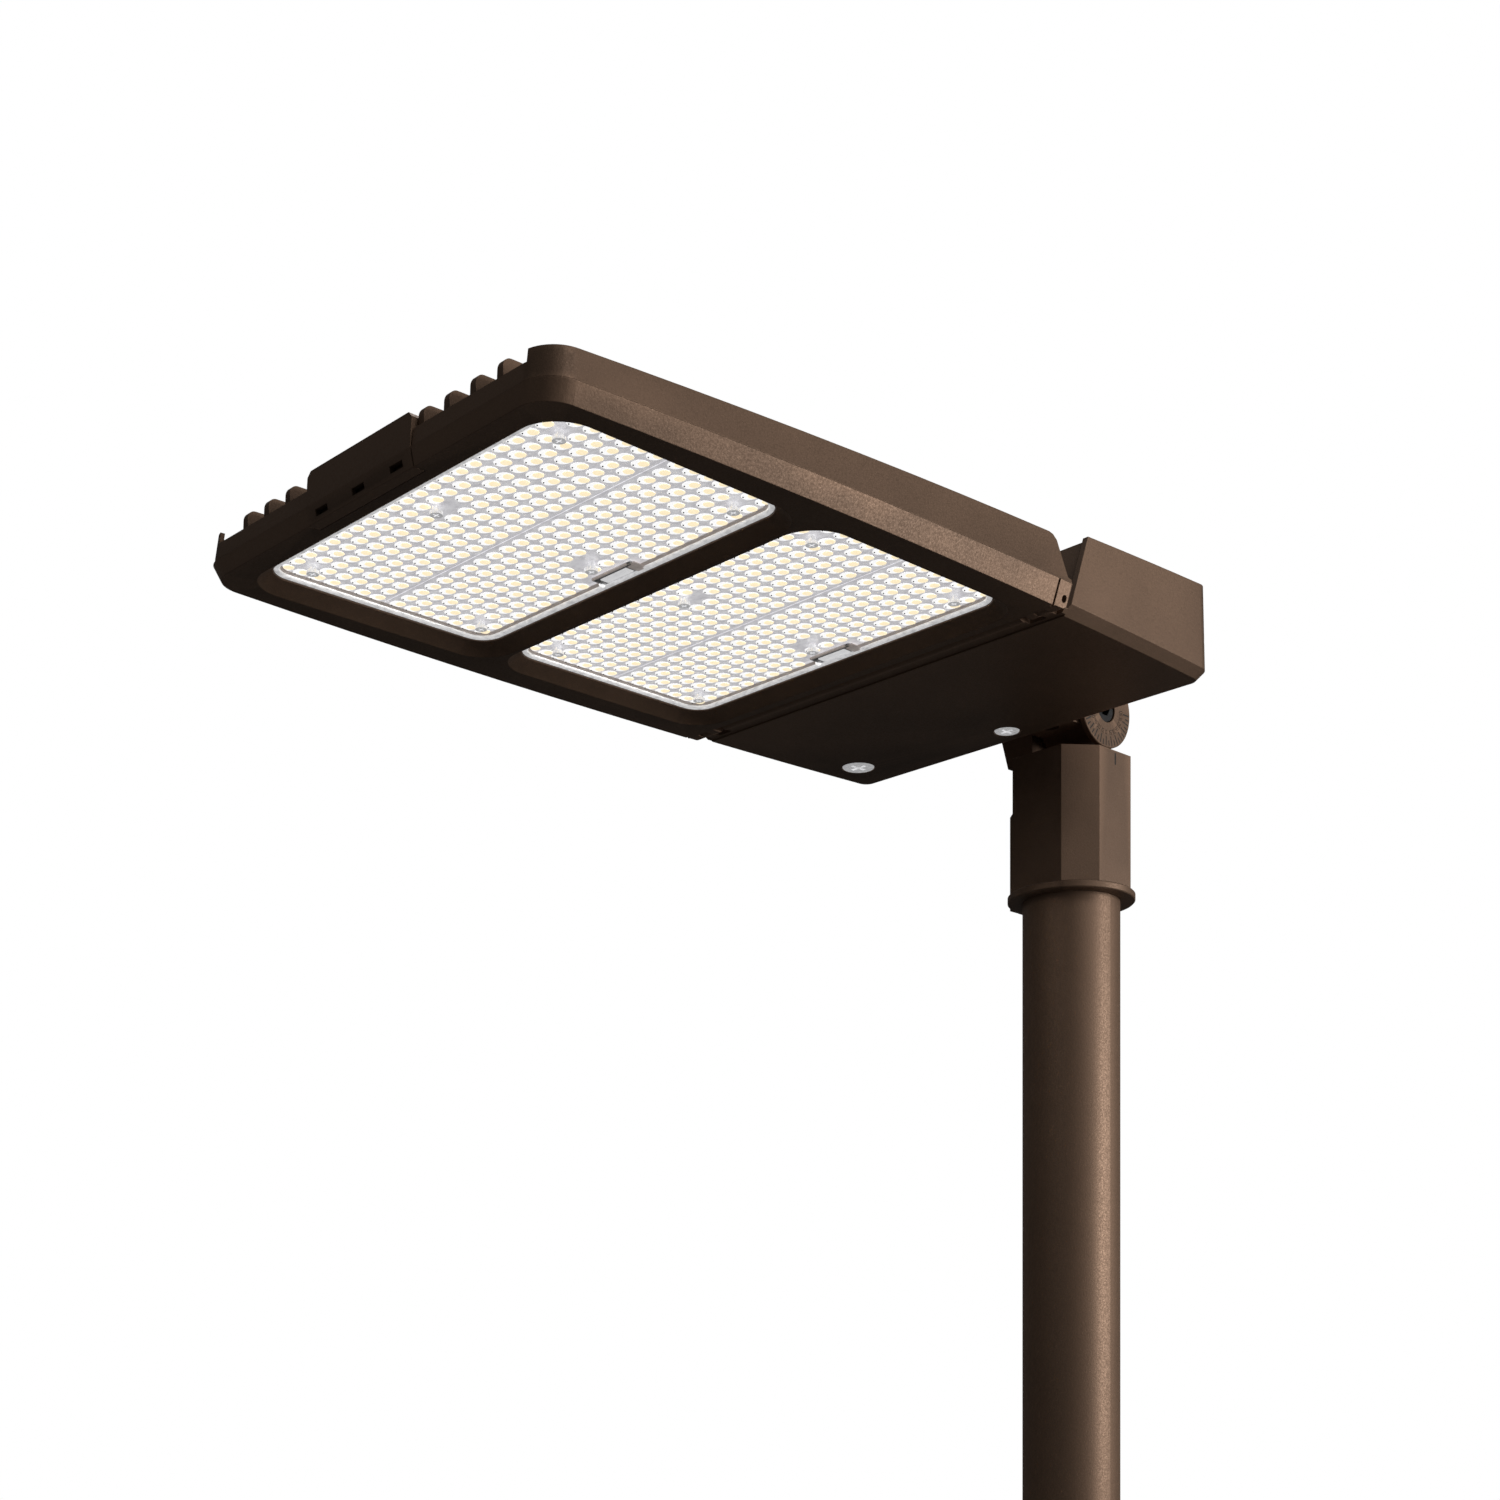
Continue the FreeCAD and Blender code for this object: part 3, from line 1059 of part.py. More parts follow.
def make_grommet():
    """Flanged rubber grommet in the hole of the tray's raked front wall."""
    y, reach = rake_y(LEAD_Z) + TRAY_GAP + TRAY_WALL / 2, GROMMET_HALF_LENGTH
    radius, thick = GROMMET_FLANGE
    body = [rod(GROMMET_R, (0, y - reach, LEAD_Z), (0, y + reach, LEAD_Z)),
            rod(radius, (0, y - reach, LEAD_Z), (0, y - reach + thick, LEAD_Z)),
            rod(radius, (0, y + reach - thick, LEAD_Z), (0, y + reach, LEAD_Z))]
    holes = [rod(LEAD_R, (x, y - 20, LEAD_Z), (x, y + 20, LEAD_Z)) for x, _ in lead_drops()]
    return cut_all(joined(body), holes)


def build_all():
    add("pole", make_pole())
    add("slip_fitter", make_fitter())
    add("set_screws", make_set_screws())
    add("pivot_bolt", make_pivot_bolt())
    add("pivot_nut", make_pivot_nut())
    add("tilt_arm", make_tilt_arm(), HEAD_Z)
    add("arm_bolts", make_arm_bolts(), HEAD_Z)
    add("heat_sink", make_heat_sink(), HEAD_Z)
    add("bezel_frame", make_bezel(), HEAD_Z)
    add("frame_screws", make_frame_screws(), HEAD_Z)
    for name, span in zip(("rear", "front"), window_spans()):
        add("lens_" + name, make_lens(span), HEAD_Z)
        add("led_board_" + name, make_board(span), HEAD_Z)
        add("lens_gasket_" + name, make_gasket(span), HEAD_Z)
    add("module_screws", make_module_screws(), HEAD_Z)
    add("front_cover", make_front_cover(), HEAD_Z)
    add("cover_screws", make_cover_screws(), HEAD_Z)
    add("gear_tray", make_tray(), HEAD_Z)
    add("tray_screws", make_tray_screws(), HEAD_Z)
    add("driver_door", make_door(), HEAD_Z)
    add("door_gasket", make_door_gasket(), HEAD_Z)
    add("hinge_pins", make_hinge_pins(), HEAD_Z)
    for name, (x, y, r) in DOOR_SCREWS.items():
        add(name, make_door_screw(x, y, r), HEAD_Z)
    for name, place in zip(("driver_front", "driver_rear"), driver_places()):
        add(name, make_driver(place), HEAD_Z)
    add("driver_screws", make_driver_screws(), HEAD_Z)
    add("surge_protector", make_surge_protector(), HEAD_Z)
    add("terminal_block", make_terminal_block(), HEAD_Z)
    add("wire_grommet", make_grommet(), HEAD_Z)
    add("module_leads", make_module_leads(), HEAD_Z)


build_all()
os.makedirs("parts", exist_ok=True)
for node, solid in PARTS.items():
    solid.exportStep("parts/" + node + ".step")
    volume = round(solid.Volume / 1000.0, 1)
    print(node, len(solid.Solids), "solids,", volume, "cm3, valid", solid.isValid())
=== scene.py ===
import json
import math

import bmesh
import bpy
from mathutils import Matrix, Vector


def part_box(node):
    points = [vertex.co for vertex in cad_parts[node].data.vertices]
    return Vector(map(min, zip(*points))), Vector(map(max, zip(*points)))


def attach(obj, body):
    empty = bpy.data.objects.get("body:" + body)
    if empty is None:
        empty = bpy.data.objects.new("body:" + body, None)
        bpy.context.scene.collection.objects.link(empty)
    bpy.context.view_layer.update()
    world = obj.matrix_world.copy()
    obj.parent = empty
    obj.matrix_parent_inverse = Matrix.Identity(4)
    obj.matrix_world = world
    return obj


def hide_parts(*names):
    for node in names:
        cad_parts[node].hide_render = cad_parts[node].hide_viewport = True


# Looks of a pole-mounted LED area light. Metres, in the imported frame: Z up along the pole,
# the head reaches out towards -Y, its underside carries two windows full of LED optics.
MM = 0.001

# Window in the bezel frame, and the silvery bead and grey groove round its inner edge. The two
# sections are points in mm: how far in from the bevel, and how high above the ledge.
WINDOW_HALF = 125.6 * MM
WINDOW_CORNER = 21.5 * MM
SMALLEST_CORNER = 2 * MM
LENS_INSET = 3.8 * MM
BEVEL_IN = 7.8
LEDGE_Z = 6.45
BEAD_PROFILE = [(0.05, 1.6), (0.05, 0.6), (0.35, 0.0), (1.0, -0.3),
                (1.8, -0.35), (2.6, -0.1), (3.15, 0.5), (3.3, 1.4)]
GROOVE_PROFILE = [(3.3, 1.3), (3.4, 2.1), (4.5, 2.2), (4.6, 2.6)]

# Optic plate, heights from the head's underside
PLATE_IN = 12.2 * MM
PLATE_LAP = 0.3 * MM
PLATE_Z = 9.0 * MM
PLATE_BACK_Z = 9.5 * MM
SEAM_HALF = 0.3 * MM

# Grid of LEDs, each with a white cup and a phosphor chip that both carry a painted glow, a small dark disc that is
# a painted dark glint, and a clear dome
COLUMNS = 22
COLUMN_PITCH = 10.5 * MM
ROWS_EACH_SIDE = 7
ROW_PITCH = 9.2 * MM
FIRST_ROW = 6.4 * MM
EDGE_CLEAR = 1.0 * MM
SCREW_CLEAR = 7.0 * MM
SCREW_REACH = 8.0 * MM
DOME_R = (4.7 * MM, 4.3 * MM)
DOME_HEIGHT = 2.3 * MM
DOME_LIFT = 0.02 * MM
DOME_STEPS = 5
DOME_STEP_DEG = 17.0
CUP_R = (4.35 * MM, 3.95 * MM)
CHIP_R = 2.75 * MM
CHIP_SHIFT = 1.75 * MM
# Small dark disc beside each chip: a painted dark glint seen in the dome
GLINT_R = 0.42 * MM
GLINT_SHIFT = -3.0 * MM
SLANT = (0.69, 0.72)

# Sections of the cup, chip and painted dark glint: share of the radius, and depth below the plate
FLAT = [(1.0, 0.03 * MM), (0.9, 0.08 * MM)]
PILLOW = [(1.0, 0.1 * MM), (0.82, 0.35 * MM), (0.5, 0.5 * MM)]
TAIL = [(1.0, 0.5 * MM), (0.6, 0.9 * MM)]

# Pocket at the rear lip of each window, where the module's lead goes in
POCKET_X = (-14.0 * MM, 17.0 * MM)
POCKET_DEPTH = 11.4 * MM
POCKET_LIP = 0.3

# Dial and pointer: engraved marks filled with dark paint almost to the face
PAINT_DEPTH = 0.12 * MM
BOLT_SUNK = 1.0 * MM
DIAL_INNER = 12.0 * MM
DIAL_OUTER = 23.4 * MM
DIAL_FILL = 0.1 * MM
DIAL_SIDES = 72
BARREL_WALL = 3.755 * MM
BARREL_ABOVE_POLE = 17.0 * MM
POINTER_HALF = 0.55 * MM
POINTER_FROM_TOP = (8.4 * MM, 1.6 * MM)
POINTER_FILL = 0.2 * MM
POINTER_BEVEL = 0.04 * MM

# Studio: floor, soft lights (name, place, size, watts, colour) and the photo's camera
FLOOR_REACH = 2.4
FLOOR_BELOW = 0.0005
WARM, COOL, NEUTRAL = (1.0, 0.98, 0.95), (0.95, 0.98, 1.0), (1, 1, 1)
AIM = (0.0, -0.2, 0.42)
LIGHTS = [
    ("key_right", (2.1, 1.15, 0.5), (0.9, 0.8), 33.0, WARM),
    ("high_right", (1.9, -0.3, 1.7), (0.8, 0.8), 8.0, WARM),
    ("front_fill", (0.6, -2.8, 0.9), (1.4, 1.0), 1.3, COOL),
    ("top_rim", (-0.4, 0.4, 2.6), (1.4, 1.4), 14.0, NEUTRAL),
]
CAMERA_AT = (0.8707, -1.1045, 0.0354)
CAMERA_TURN_DEG = (90.0, 0.0, 46.42)
CAMERA_LENS = 53.7
CAMERA_SENSOR = 36.0
CAMERA_SHIFT = 0.493

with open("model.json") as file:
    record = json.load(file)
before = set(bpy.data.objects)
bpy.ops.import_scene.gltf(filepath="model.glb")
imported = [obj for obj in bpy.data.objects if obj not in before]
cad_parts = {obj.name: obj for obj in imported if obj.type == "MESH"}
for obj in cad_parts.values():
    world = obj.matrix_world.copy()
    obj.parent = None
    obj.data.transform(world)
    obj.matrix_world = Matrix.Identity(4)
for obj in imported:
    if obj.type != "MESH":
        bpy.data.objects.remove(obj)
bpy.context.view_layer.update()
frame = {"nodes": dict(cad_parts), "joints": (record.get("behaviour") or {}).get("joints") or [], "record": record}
nodes = frame["nodes"]


# --- Node helpers ---------------------------------------------------------------------------
class Shade:
    """Small builder for one Principled material and its procedural detail."""

    def __init__(self, name, **sockets):
        self.material = bpy.data.materials.new(name)
        self.material.use_nodes = True
        self.tree = self.material.node_tree
        self.tree.nodes.clear()
        self.shader = self.tree.nodes.new("ShaderNodeBsdfPrincipled")
        self.out = self.tree.nodes.new("ShaderNodeOutputMaterial")
        self.link(self.shader, 0, self.out, "Surface")
        self.place = self.tree.nodes.new("ShaderNodeTexCoord")
        for key, value in sockets.items():
            self.shader.inputs[key.replace("_", " ")].default_value = value

    def link(self, a, out, b, socket):
        self.tree.links.new(a.outputs[out], b.inputs[socket])

    def node(self, kind, **values):
        made = self.tree.nodes.new("ShaderNode" + kind)
        for key, value in values.items():
            setattr(made, key, value)
        return made

    def noise(self, scale, detail=3.0, rough=0.55, stretch=(1, 1, 1)):
        made = self.node("TexNoise")
        made.inputs["Scale"].default_value = scale
        made.inputs["Detail"].default_value = detail
        made.inputs["Roughness"].default_value = rough
        squeeze = self.node("Mapping")
        squeeze.inputs["Scale"].default_value = stretch
        self.link(self.place, "Object", squeeze, "Vector")
        self.link(squeeze, 0, made, "Vector")
        return made

    def ramp(self, source, out, stops):
        made = self.node("ValToRGB")
        self.link(source, out, made, "Fac")
        bar = made.color_ramp
        while len(bar.elements) < len(stops):
            bar.elements.new(0.5)
        for element, (at, colour) in zip(bar.elements, stops):
            element.position = at
            element.color = colour if len(colour) == 4 else (*colour, 1.0)
        return made

    def mix(self, factor, a, b, blend="MIX", amount=0.5):
        made = self.node("Mix", data_type="RGBA", blend_type=blend)
        if factor is None:
            made.inputs[0].default_value = amount
        else:
            self.link(factor[0], factor[1], made, 0)
        for socket, side in ((6, a), (7, b)):
            if isinstance(side, tuple) and not isinstance(side[0], (int, float)):
                self.link(side[0], side[1], made, socket)
            else:
                made.inputs[socket].default_value = (*side, 1.0)
        return made

    def bump(self, sources, edge=0.0):
        """Stack of bumps (node, output, strength, depth) over softly rounded edges."""
        normal = None
        if edge:
            normal = self.node("Bevel")
            normal.samples = 4
            normal.inputs["Radius"].default_value = edge
        for source, out, strength, depth in sources:
            made = self.node("Bump")
            made.inputs["Strength"].default_value = strength
            made.inputs["Distance"].default_value = depth
            self.link(source, out, made, "Height")
            if normal:
                self.link(normal, 0, made, "Normal")
            normal = made
        if normal:
            self.link(normal, 0, self.shader, "Normal")

    def paint(self, source, out=0, socket="Base Color"):
        self.link(source, out, self.shader, socket)


def grey(value):
    return (value, value, value)


def powder_coat(name, base, rough=0.5):
    """Fine-texture powder coat: sandy micro bumps, faint mottling and a painted highlight of lighter bronze on
    sharp convex edges.
    """
    coat = Shade(name, Metallic=0.5, Specular_IOR_Level=0.35)
    broad = coat.noise(14.0, 3.0)
    grain = coat.noise(2300.0, 2.0, 0.6)
    pebble = coat.noise(950.0, 2.0, 0.5)
    light = tuple(min(1.0, c * 1.16) for c in base)
    dark = tuple(c * 0.86 for c in base)
    tone = coat.ramp(broad, 0, [(0.3, dark), (0.7, light)])
    speck = coat.ramp(grain, 0, [(0.38, grey(0.82)), (0.62, grey(1.16))])
    mottled = coat.mix(None, (tone, 0), (speck, 0), "MULTIPLY", 0.75)
    # Painted highlight: sharp convex edges (pointiness) are lightened towards brighter bronze.
    edges = coat.node("NewGeometry")
    edge_highlight = coat.ramp(edges, "Pointiness", [(0.53, grey(0.0)), (0.6, grey(0.5))])
    shown = coat.mix((edge_highlight, 0), (mottled, 2), tuple(min(1.0, c * 1.9) for c in base))
    coat.paint(shown, 2)
    sheen = coat.ramp(pebble, 0, [(0.3, grey(rough - 0.09)), (0.7, grey(rough + 0.1))])
    coat.paint(sheen, 0, "Roughness")
    coat.bump([(pebble, 0, 0.28, 0.00022), (grain, 0, 0.3, 0.00012)], 0.0005)
    return coat.material


def metal(name, colour, rough, stretch, edge=0.0002):
    """Plated steel: fine turning marks, faint cloudy plating."""
    steel = Shade(name, Metallic=1.0, Anisotropic=0.25)
    marks = steel.noise(700.0, 3.0, 0.6, stretch)
    cloud = steel.noise(160.0, 3.0)
    dull = tuple(c * 0.78 for c in colour)
    steel.paint(steel.ramp(cloud, 0, [(0.3, dull), (0.65, colour)]))
    steel.paint(steel.ramp(marks, 0, [(0.3, grey(rough - 0.07)), (0.7, grey(rough + 0.1))]), 0, "Roughness")
    steel.bump([(marks, 0, 0.12, 0.0001)], edge)
    return steel.material


def moulded(name, colour, rough, scale=900.0, strength=0.2, **sockets):
    """Moulded plastic or rubber: fine spark-eroded grain and faint flow marks."""
    part = Shade(name, **sockets)
    grain = part.noise(scale, 2.0)
    flow = part.noise(45.0, 3.0, 0.5, (1, 3, 1))
    dark = tuple(c * 0.88 for c in colour)
    part.paint(part.ramp(flow, 0, [(0.3, dark), (0.7, colour)]))
    part.paint(part.ramp(grain, 0, [(0.3, grey(rough - 0.06)), (0.7, grey(rough + 0.08))]), 0, "Roughness")
    part.bump([(grain, 0, strength, 0.0001)], 0.0003)
    return part.material


def painted_glow(name, stops, glow, scale, rough=0.35, stretch=(1, 1, 1), depth=0.0002, **sockets):
    """Moulded surface with a painted glow: emission in its own colour keeps it bright where the underside lies in
    shade.
    """
    made = Shade(name, Emission_Strength=glow, **sockets)
    cloud = made.noise(scale, 3.0, 0.6, stretch)
    tone = made.ramp(cloud, 0, stops)
    made.paint(tone)
    made.paint(tone, 0, "Emission Color")
    made.paint(made.ramp(cloud, 0, [(0.3, grey(rough - 0.08)), (0.7, grey(rough + 0.1))]), 0, "Roughness")
    made.bump([(cloud, 0, 0.25, depth)])
    return made.material


def dome_glass():
    """Clear optic: see-through from the front, with a painted white glow from its emission that shows as painted
    glare where it turns away.
    """
    glass = Shade("dome_optic", Base_Color=(0.97, 0.97, 0.98, 1.0), Roughness=0.06, Coat_Weight=0.8,
                  Coat_Roughness=0.02, Emission_Color=(1.0, 1.0, 1.0, 1.0), Emission_Strength=0.3)
    ripple = glass.noise(420.0, 2.0)
    facing = glass.node("LayerWeight")
    facing.inputs["Blend"].default_value = 0.3
    # Opacity that rises where the dome turns away; with the white emission it shows as a painted white glare.
    dome_painted_glare = glass.ramp(facing, "Facing", [(0.3, grey(0.02)), (0.8, grey(0.16)), (0.97, grey(0.6))])
    glass.paint(dome_painted_glare, 0, "Alpha")
    glass.bump([(ripple, 0, 0.3, 0.0005)])
    return glass.material


BRONZE = (0.155, 0.098, 0.066)
paints = {
    "bronze_powder_coat": powder_coat("bronze_powder_coat", BRONZE),
    "zinc_steel": metal("zinc_steel", (0.86, 0.86, 0.87), 0.2, (1, 1, 6)),
    "black_oxide_steel": metal("black_oxide_steel", (0.05, 0.05, 0.052), 0.38, (1, 1, 4)),
    "driver_case": metal("driver_case", (0.72, 0.72, 0.73), 0.32, (1, 9, 9)),
    # The lens plate carries a painted glow: light of its own that keeps it bright in the shaded underside.
    "clear_optic": painted_glow("lens_plate",
                           [(0.3, (0.6, 0.59, 0.62)), (0.5, (0.7, 0.69, 0.72)), (0.72, (0.8, 0.8, 0.82))],
                           0.7, 210.0, 0.22, (1, 1.8, 1), 0.0004, Coat_Weight=0.6, Coat_Roughness=0.05),
    "white_board": moulded("white_board", (0.8, 0.8, 0.82), 0.4, 500.0),
    "grey_silicone": moulded("grey_silicone", (0.33, 0.3, 0.27), 0.6, 700.0),
    "black_rubber": moulded("black_rubber", (0.03, 0.03, 0.032), 0.65, 800.0, 0.4),
    "black_plastic": moulded("black_plastic", (0.035, 0.035, 0.038), 0.42),
    "grey_plastic": moulded("grey_plastic", (0.42, 0.42, 0.4), 0.45),
    "white_cable": moulded("white_cable", (0.75, 0.75, 0.72), 0.35, 300.0),
}
# Painted glow: the groove, bead, cup, chip and lid paints below give light of their own that keeps them bright in
# the shaded underside.
groove_paint = painted_glow("groove_strip", [(0.3, (0.3, 0.26, 0.24)), (0.7, (0.38, 0.34, 0.32))], 0.55, 300.0, 0.45)
bead_paint = painted_glow("silver_bead",
                     [(0.32, (0.62, 0.62, 0.63)), (0.5, (0.8, 0.8, 0.81)), (0.66, (0.95, 0.95, 0.96))],
                     0.6, 260.0, 0.26, (1, 1, 5), 0.0003, Metallic=0.2, Coat_Weight=0.4, Coat_Roughness=0.1)
cup_paint = painted_glow("led_cup", [(0.3, (0.9, 0.9, 0.91)), (0.7, (1.0, 1.0, 1.0))], 0.95, 600.0)
chip_paint = painted_glow("led_phosphor", [(0.35, (1.0, 0.83, 0.54)), (0.65, (1.0, 0.88, 0.62))], 0.92, 900.0, 0.5)
lid_paint = painted_glow("feed_lid", [(0.3, (0.72, 0.72, 0.73)), (0.7, (0.82, 0.82, 0.83))], 0.7, 300.0)
mark_paint = moulded("dial_mark", (0.012, 0.011, 0.01), 0.6, 500.0)
# Dark grey for the painted dark glint beside each chip in its dome.
dark_glint_paint = moulded("solder_pad", (0.13, 0.115, 0.11), 0.4, 700.0)
dome_paint = dome_glass()
# Screw paint with a painted glow: emission that keeps the underside screws bright in the shade.
bright_screw = painted_glow("bright_screw", [(0.3, (0.6, 0.6, 0.61)), (0.7, (0.85, 0.85, 0.86))],
                       0.45, 500.0, 0.25, Metallic=0.6)

# Every CAD node takes its slot's paint, apart from the screws seen on the underside, which get a painted glow that
# keeps them bright in the shade
special = {name: bright_screw for name in ("door_screw_side", "door_screw_middle", "module_screws")}
special["pivot_bolt"] = paints["black_oxide_steel"]
node_slots = {row["node"]: row["material_slot"] for row in frame["record"]["subparts"]}
for name, item in nodes.items():
    paint = special.get(name, paints[node_slots[name]])
    for place in item.material_slots:
        place.material = paint


# --- Meshes ---------------------------------------------------------------------------------
def make_object(name, mesh_data, paint, smooth=True):
    mesh = bpy.data.meshes.new(name)
    mesh_data.to_mesh(mesh)
    mesh_data.free()
    item = bpy.data.objects.new(name, mesh)
    bpy.context.scene.collection.objects.link(item)
    mesh.materials.append(paint)
    for polygon in mesh.polygons:
        polygon.use_smooth = smooth
    return item


def rounded_ring(half, y0, y1, radius, steps=10):
    """Points of a rectangle with round corners, counter-clockwise seen from above."""
    points = []
    corners = [(half - radius, y1 - radius, 0), (radius - half, y1 - radius, 90),
               (radius - half, y0 + radius, 180), (half - radius, y0 + radius, 270)]
    for cx, cy, start in corners:
        for i in range(steps + 1):
            turn = math.radians(start + 90.0 * i / steps)
            points.append((cx + radius * math.cos(turn), cy + radius * math.sin(turn)))
    return points


def window_ring(window, inset):
    y0, y1 = window
    corner = max(WINDOW_CORNER - inset, SMALLEST_CORNER)
    return rounded_ring(WINDOW_HALF - inset, y0 + inset, y1 - inset, corner)


def swept_ring(window, profile, base):
    """Strip round a window through a section of (inset, height) points."""
    bm = bmesh.new()
    loops = []
    for inset, height in profile:
        loops.append([bm.verts.new((x, y, base + height)) for x, y in window_ring(window, inset)])
    for a, b in zip(loops, loops[1:]):
        for i in range(len(a)):
            j = (i + 1) % len(a)
            bm.faces.new((a[i], b[i], b[j], a[j]))
    return bm


def plate_mesh(window, base, inset, split):
    """Optic plate in two halves that meet at a narrow seam across the window's middle."""
    bm = bmesh.new()
    y0, y1 = window
    mid = (y0 + y1) / 2
    outline = window_ring(window, inset)
    for side in (-1, 1):
        edge = mid + side * split
        kept = [(x, y) for x, y in outline if (y - edge) * side > 0]
        limit = WINDOW_HALF - inset
        kept += [(-limit, edge), (limit, edge)] if side > 0 else [(limit, edge), (-limit, edge)]
        centre = (0.0, edge + side * 30 * MM)
        kept.sort(key=lambda p: math.atan2(p[1] - centre[1], p[0] - centre[0]))
        front = [bm.verts.new((x, y, base + PLATE_Z)) for x, y in kept]
        back = [bm.verts.new((x, y, base + PLATE_BACK_Z)) for x, y in kept]
        bm.faces.new(front[::-1])
        bm.faces.new(back)
        for i in range(len(kept)):
            j = (i + 1) % len(kept)
            bm.faces.new((front[i], front[j], back[j], back[i]))
    return bm


def led_places(window, screws, pocket_y):
    """Centres of the LEDs: a grid either side of the seam, clear of corners, screws and pocket."""
    y0, y1 = window
    mid = (y0 + y1) / 2
    corner = (WINDOW_HALF - WINDOW_CORNER, (y1 - y0) / 2 - WINDOW_CORNER)
    room = WINDOW_CORNER - PLATE_IN - EDGE_CLEAR
    places = []
    for i in range(COLUMNS):
        x = (i - (COLUMNS - 1) / 2) * COLUMN_PITCH
        for j in range(2 * ROWS_EACH_SIDE):
            k = j - ROWS_EACH_SIDE
            y = mid + (FIRST_ROW + k * ROW_PITCH if k >= 0 else -FIRST_ROW + (k + 1) * ROW_PITCH)
            out_x, out_y = abs(x) - corner[0], abs(y - mid) - corner[1]
            in_corner = out_x > 0 and out_y > 0 and math.hypot(out_x, out_y) > room
            by_screw = any(math.hypot(x - sx, y - sy) < SCREW_CLEAR for sx, sy in screws)
            beside = POCKET_X[0] - DOME_R[0] < x < POCKET_X[1] + DOME_R[0]
            in_pocket = beside and y > pocket_y - DOME_R[1]
            if not (in_corner or by_screw or in_pocket):
                places.append((x, y))
    return places


def discs_mesh(places, radii, shift, drops, base, around):
    """Shallow pillow under each LED place: rings of shrinking ellipses, closed by a flat tip."""
    bm = bmesh.new()
    for x, y in places:
        cx, cy = x + shift[0], y + shift[1]
        rows = []
        for share, drop in drops:
            rows.append([bm.verts.new((cx + radii[0] * share * math.cos(2 * math.pi * i / around),
                                       cy + radii[1] * share * math.sin(2 * math.pi * i / around),
                                       base + PLATE_Z - drop)) for i in range(around)])
        for a, b in zip(rows, rows[1:]):
            for i in range(around):
                j = (i + 1) % around
                bm.faces.new((a[j], a[i], b[i], b[j]))
        bm.faces.new(rows[-1][::-1])
    return bm


def dome_rings():
    """Section of a dome: share of the radius and depth below the plate, from foot to tip."""
    rings = []
    for r in range(DOME_STEPS):
        lift = math.radians(DOME_STEP_DEG * r)
        rings.append((math.cos(lift), DOME_LIFT + DOME_HEIGHT * math.sin(lift)))
    return rings


def box_mesh(limits, bevel):
    """Bevelled block between x, y and z limits."""
    bm = bmesh.new()
    (x0, x1), (y0, y1), (z0, z1) = limits
    verts = [bm.verts.new((x, y, z)) for x in (x0, x1) for y in (y0, y1) for z in (z0, z1)]
    for quad in ((0, 1, 3, 2), (4, 6, 7, 5), (0, 4, 5, 1), (2, 3, 7, 6), (0, 2, 6, 4), (1, 5, 7, 3)):
        bm.faces.new([verts[i] for i in quad])
    bmesh.ops.recalc_face_normals(bm, faces=bm.faces)
    bmesh.ops.bevel(bm, geom=bm.edges, offset=bevel, segments=2, affect="EDGES")
    return bm


def screw_centres():
    """Centre of each separate module screw, from the shells of the CAD node."""
    co = [v.co for v in nodes["module_screws"].data.vertices]
    centres = []
    for p in co:
        for c in centres:
            if math.hypot(p.x - c[0], p.y - c[1]) < SCREW_REACH:
                break
        else:
            centres.append((p.x, p.y))
    exact = []
    for cx, cy in centres:
        near = [p for p in co if math.hypot(p.x - cx, p.y - cy) < SCREW_REACH]
        xs, ys = [p.x for p in near], [p.y for p in near]
        exact.append(((min(xs) + max(xs)) / 2, (min(ys) + max(ys)) / 2))
    return exact


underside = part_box("bezel_frame")[0].z
screws = screw_centres()


# --- Optics in the two windows --------------------------------------------------------------
def along_slant(length):
    """Shift in the head's plane along the slant of each chip in its cup."""
    return SLANT[0] * length, SLANT[1] * length


def swept(window, profile, name, paint):
    points = [((BEVEL_IN + a) * MM, (LEDGE_Z + b) * MM) for a, b in profile]
    return make_object(name, swept_ring(window, points, underside), paint)


def feed_blocks(pocket_y, lip):
    """Blocks in a pocket: name, x limits, y limits, heights in mm from the underside, bevel, paint."""
    left, right = POCKET_X
    return [
        ("tray", (left, right), (pocket_y, lip), (7.2, 9.2), 0.9, paints["white_board"]),
        ("lid", (left + 5 * MM, right - 5 * MM), (pocket_y + 1.6 * MM, lip - 3.4 * MM), (6.7, 8.0), 0.6,
         lid_paint),
        ("slit", (left + 1 * MM, right - 3 * MM), (pocket_y - 0.1 * MM, pocket_y + 0.8 * MM), (7.0, 8.4), 0.2,
         groove_paint),
        ("bush", (right - 4.5 * MM, right + 1.5 * MM), (pocket_y + 1 * MM, lip - 1.2 * MM), (6.6, 8.6), 0.9,
         groove_paint),
        ("post", (left - 1.2 * MM, left + 1.6 * MM), (lip - 5.2 * MM, lip - 1.6 * MM), (6.5, 8.6), 0.6,
         cup_paint),
    ]


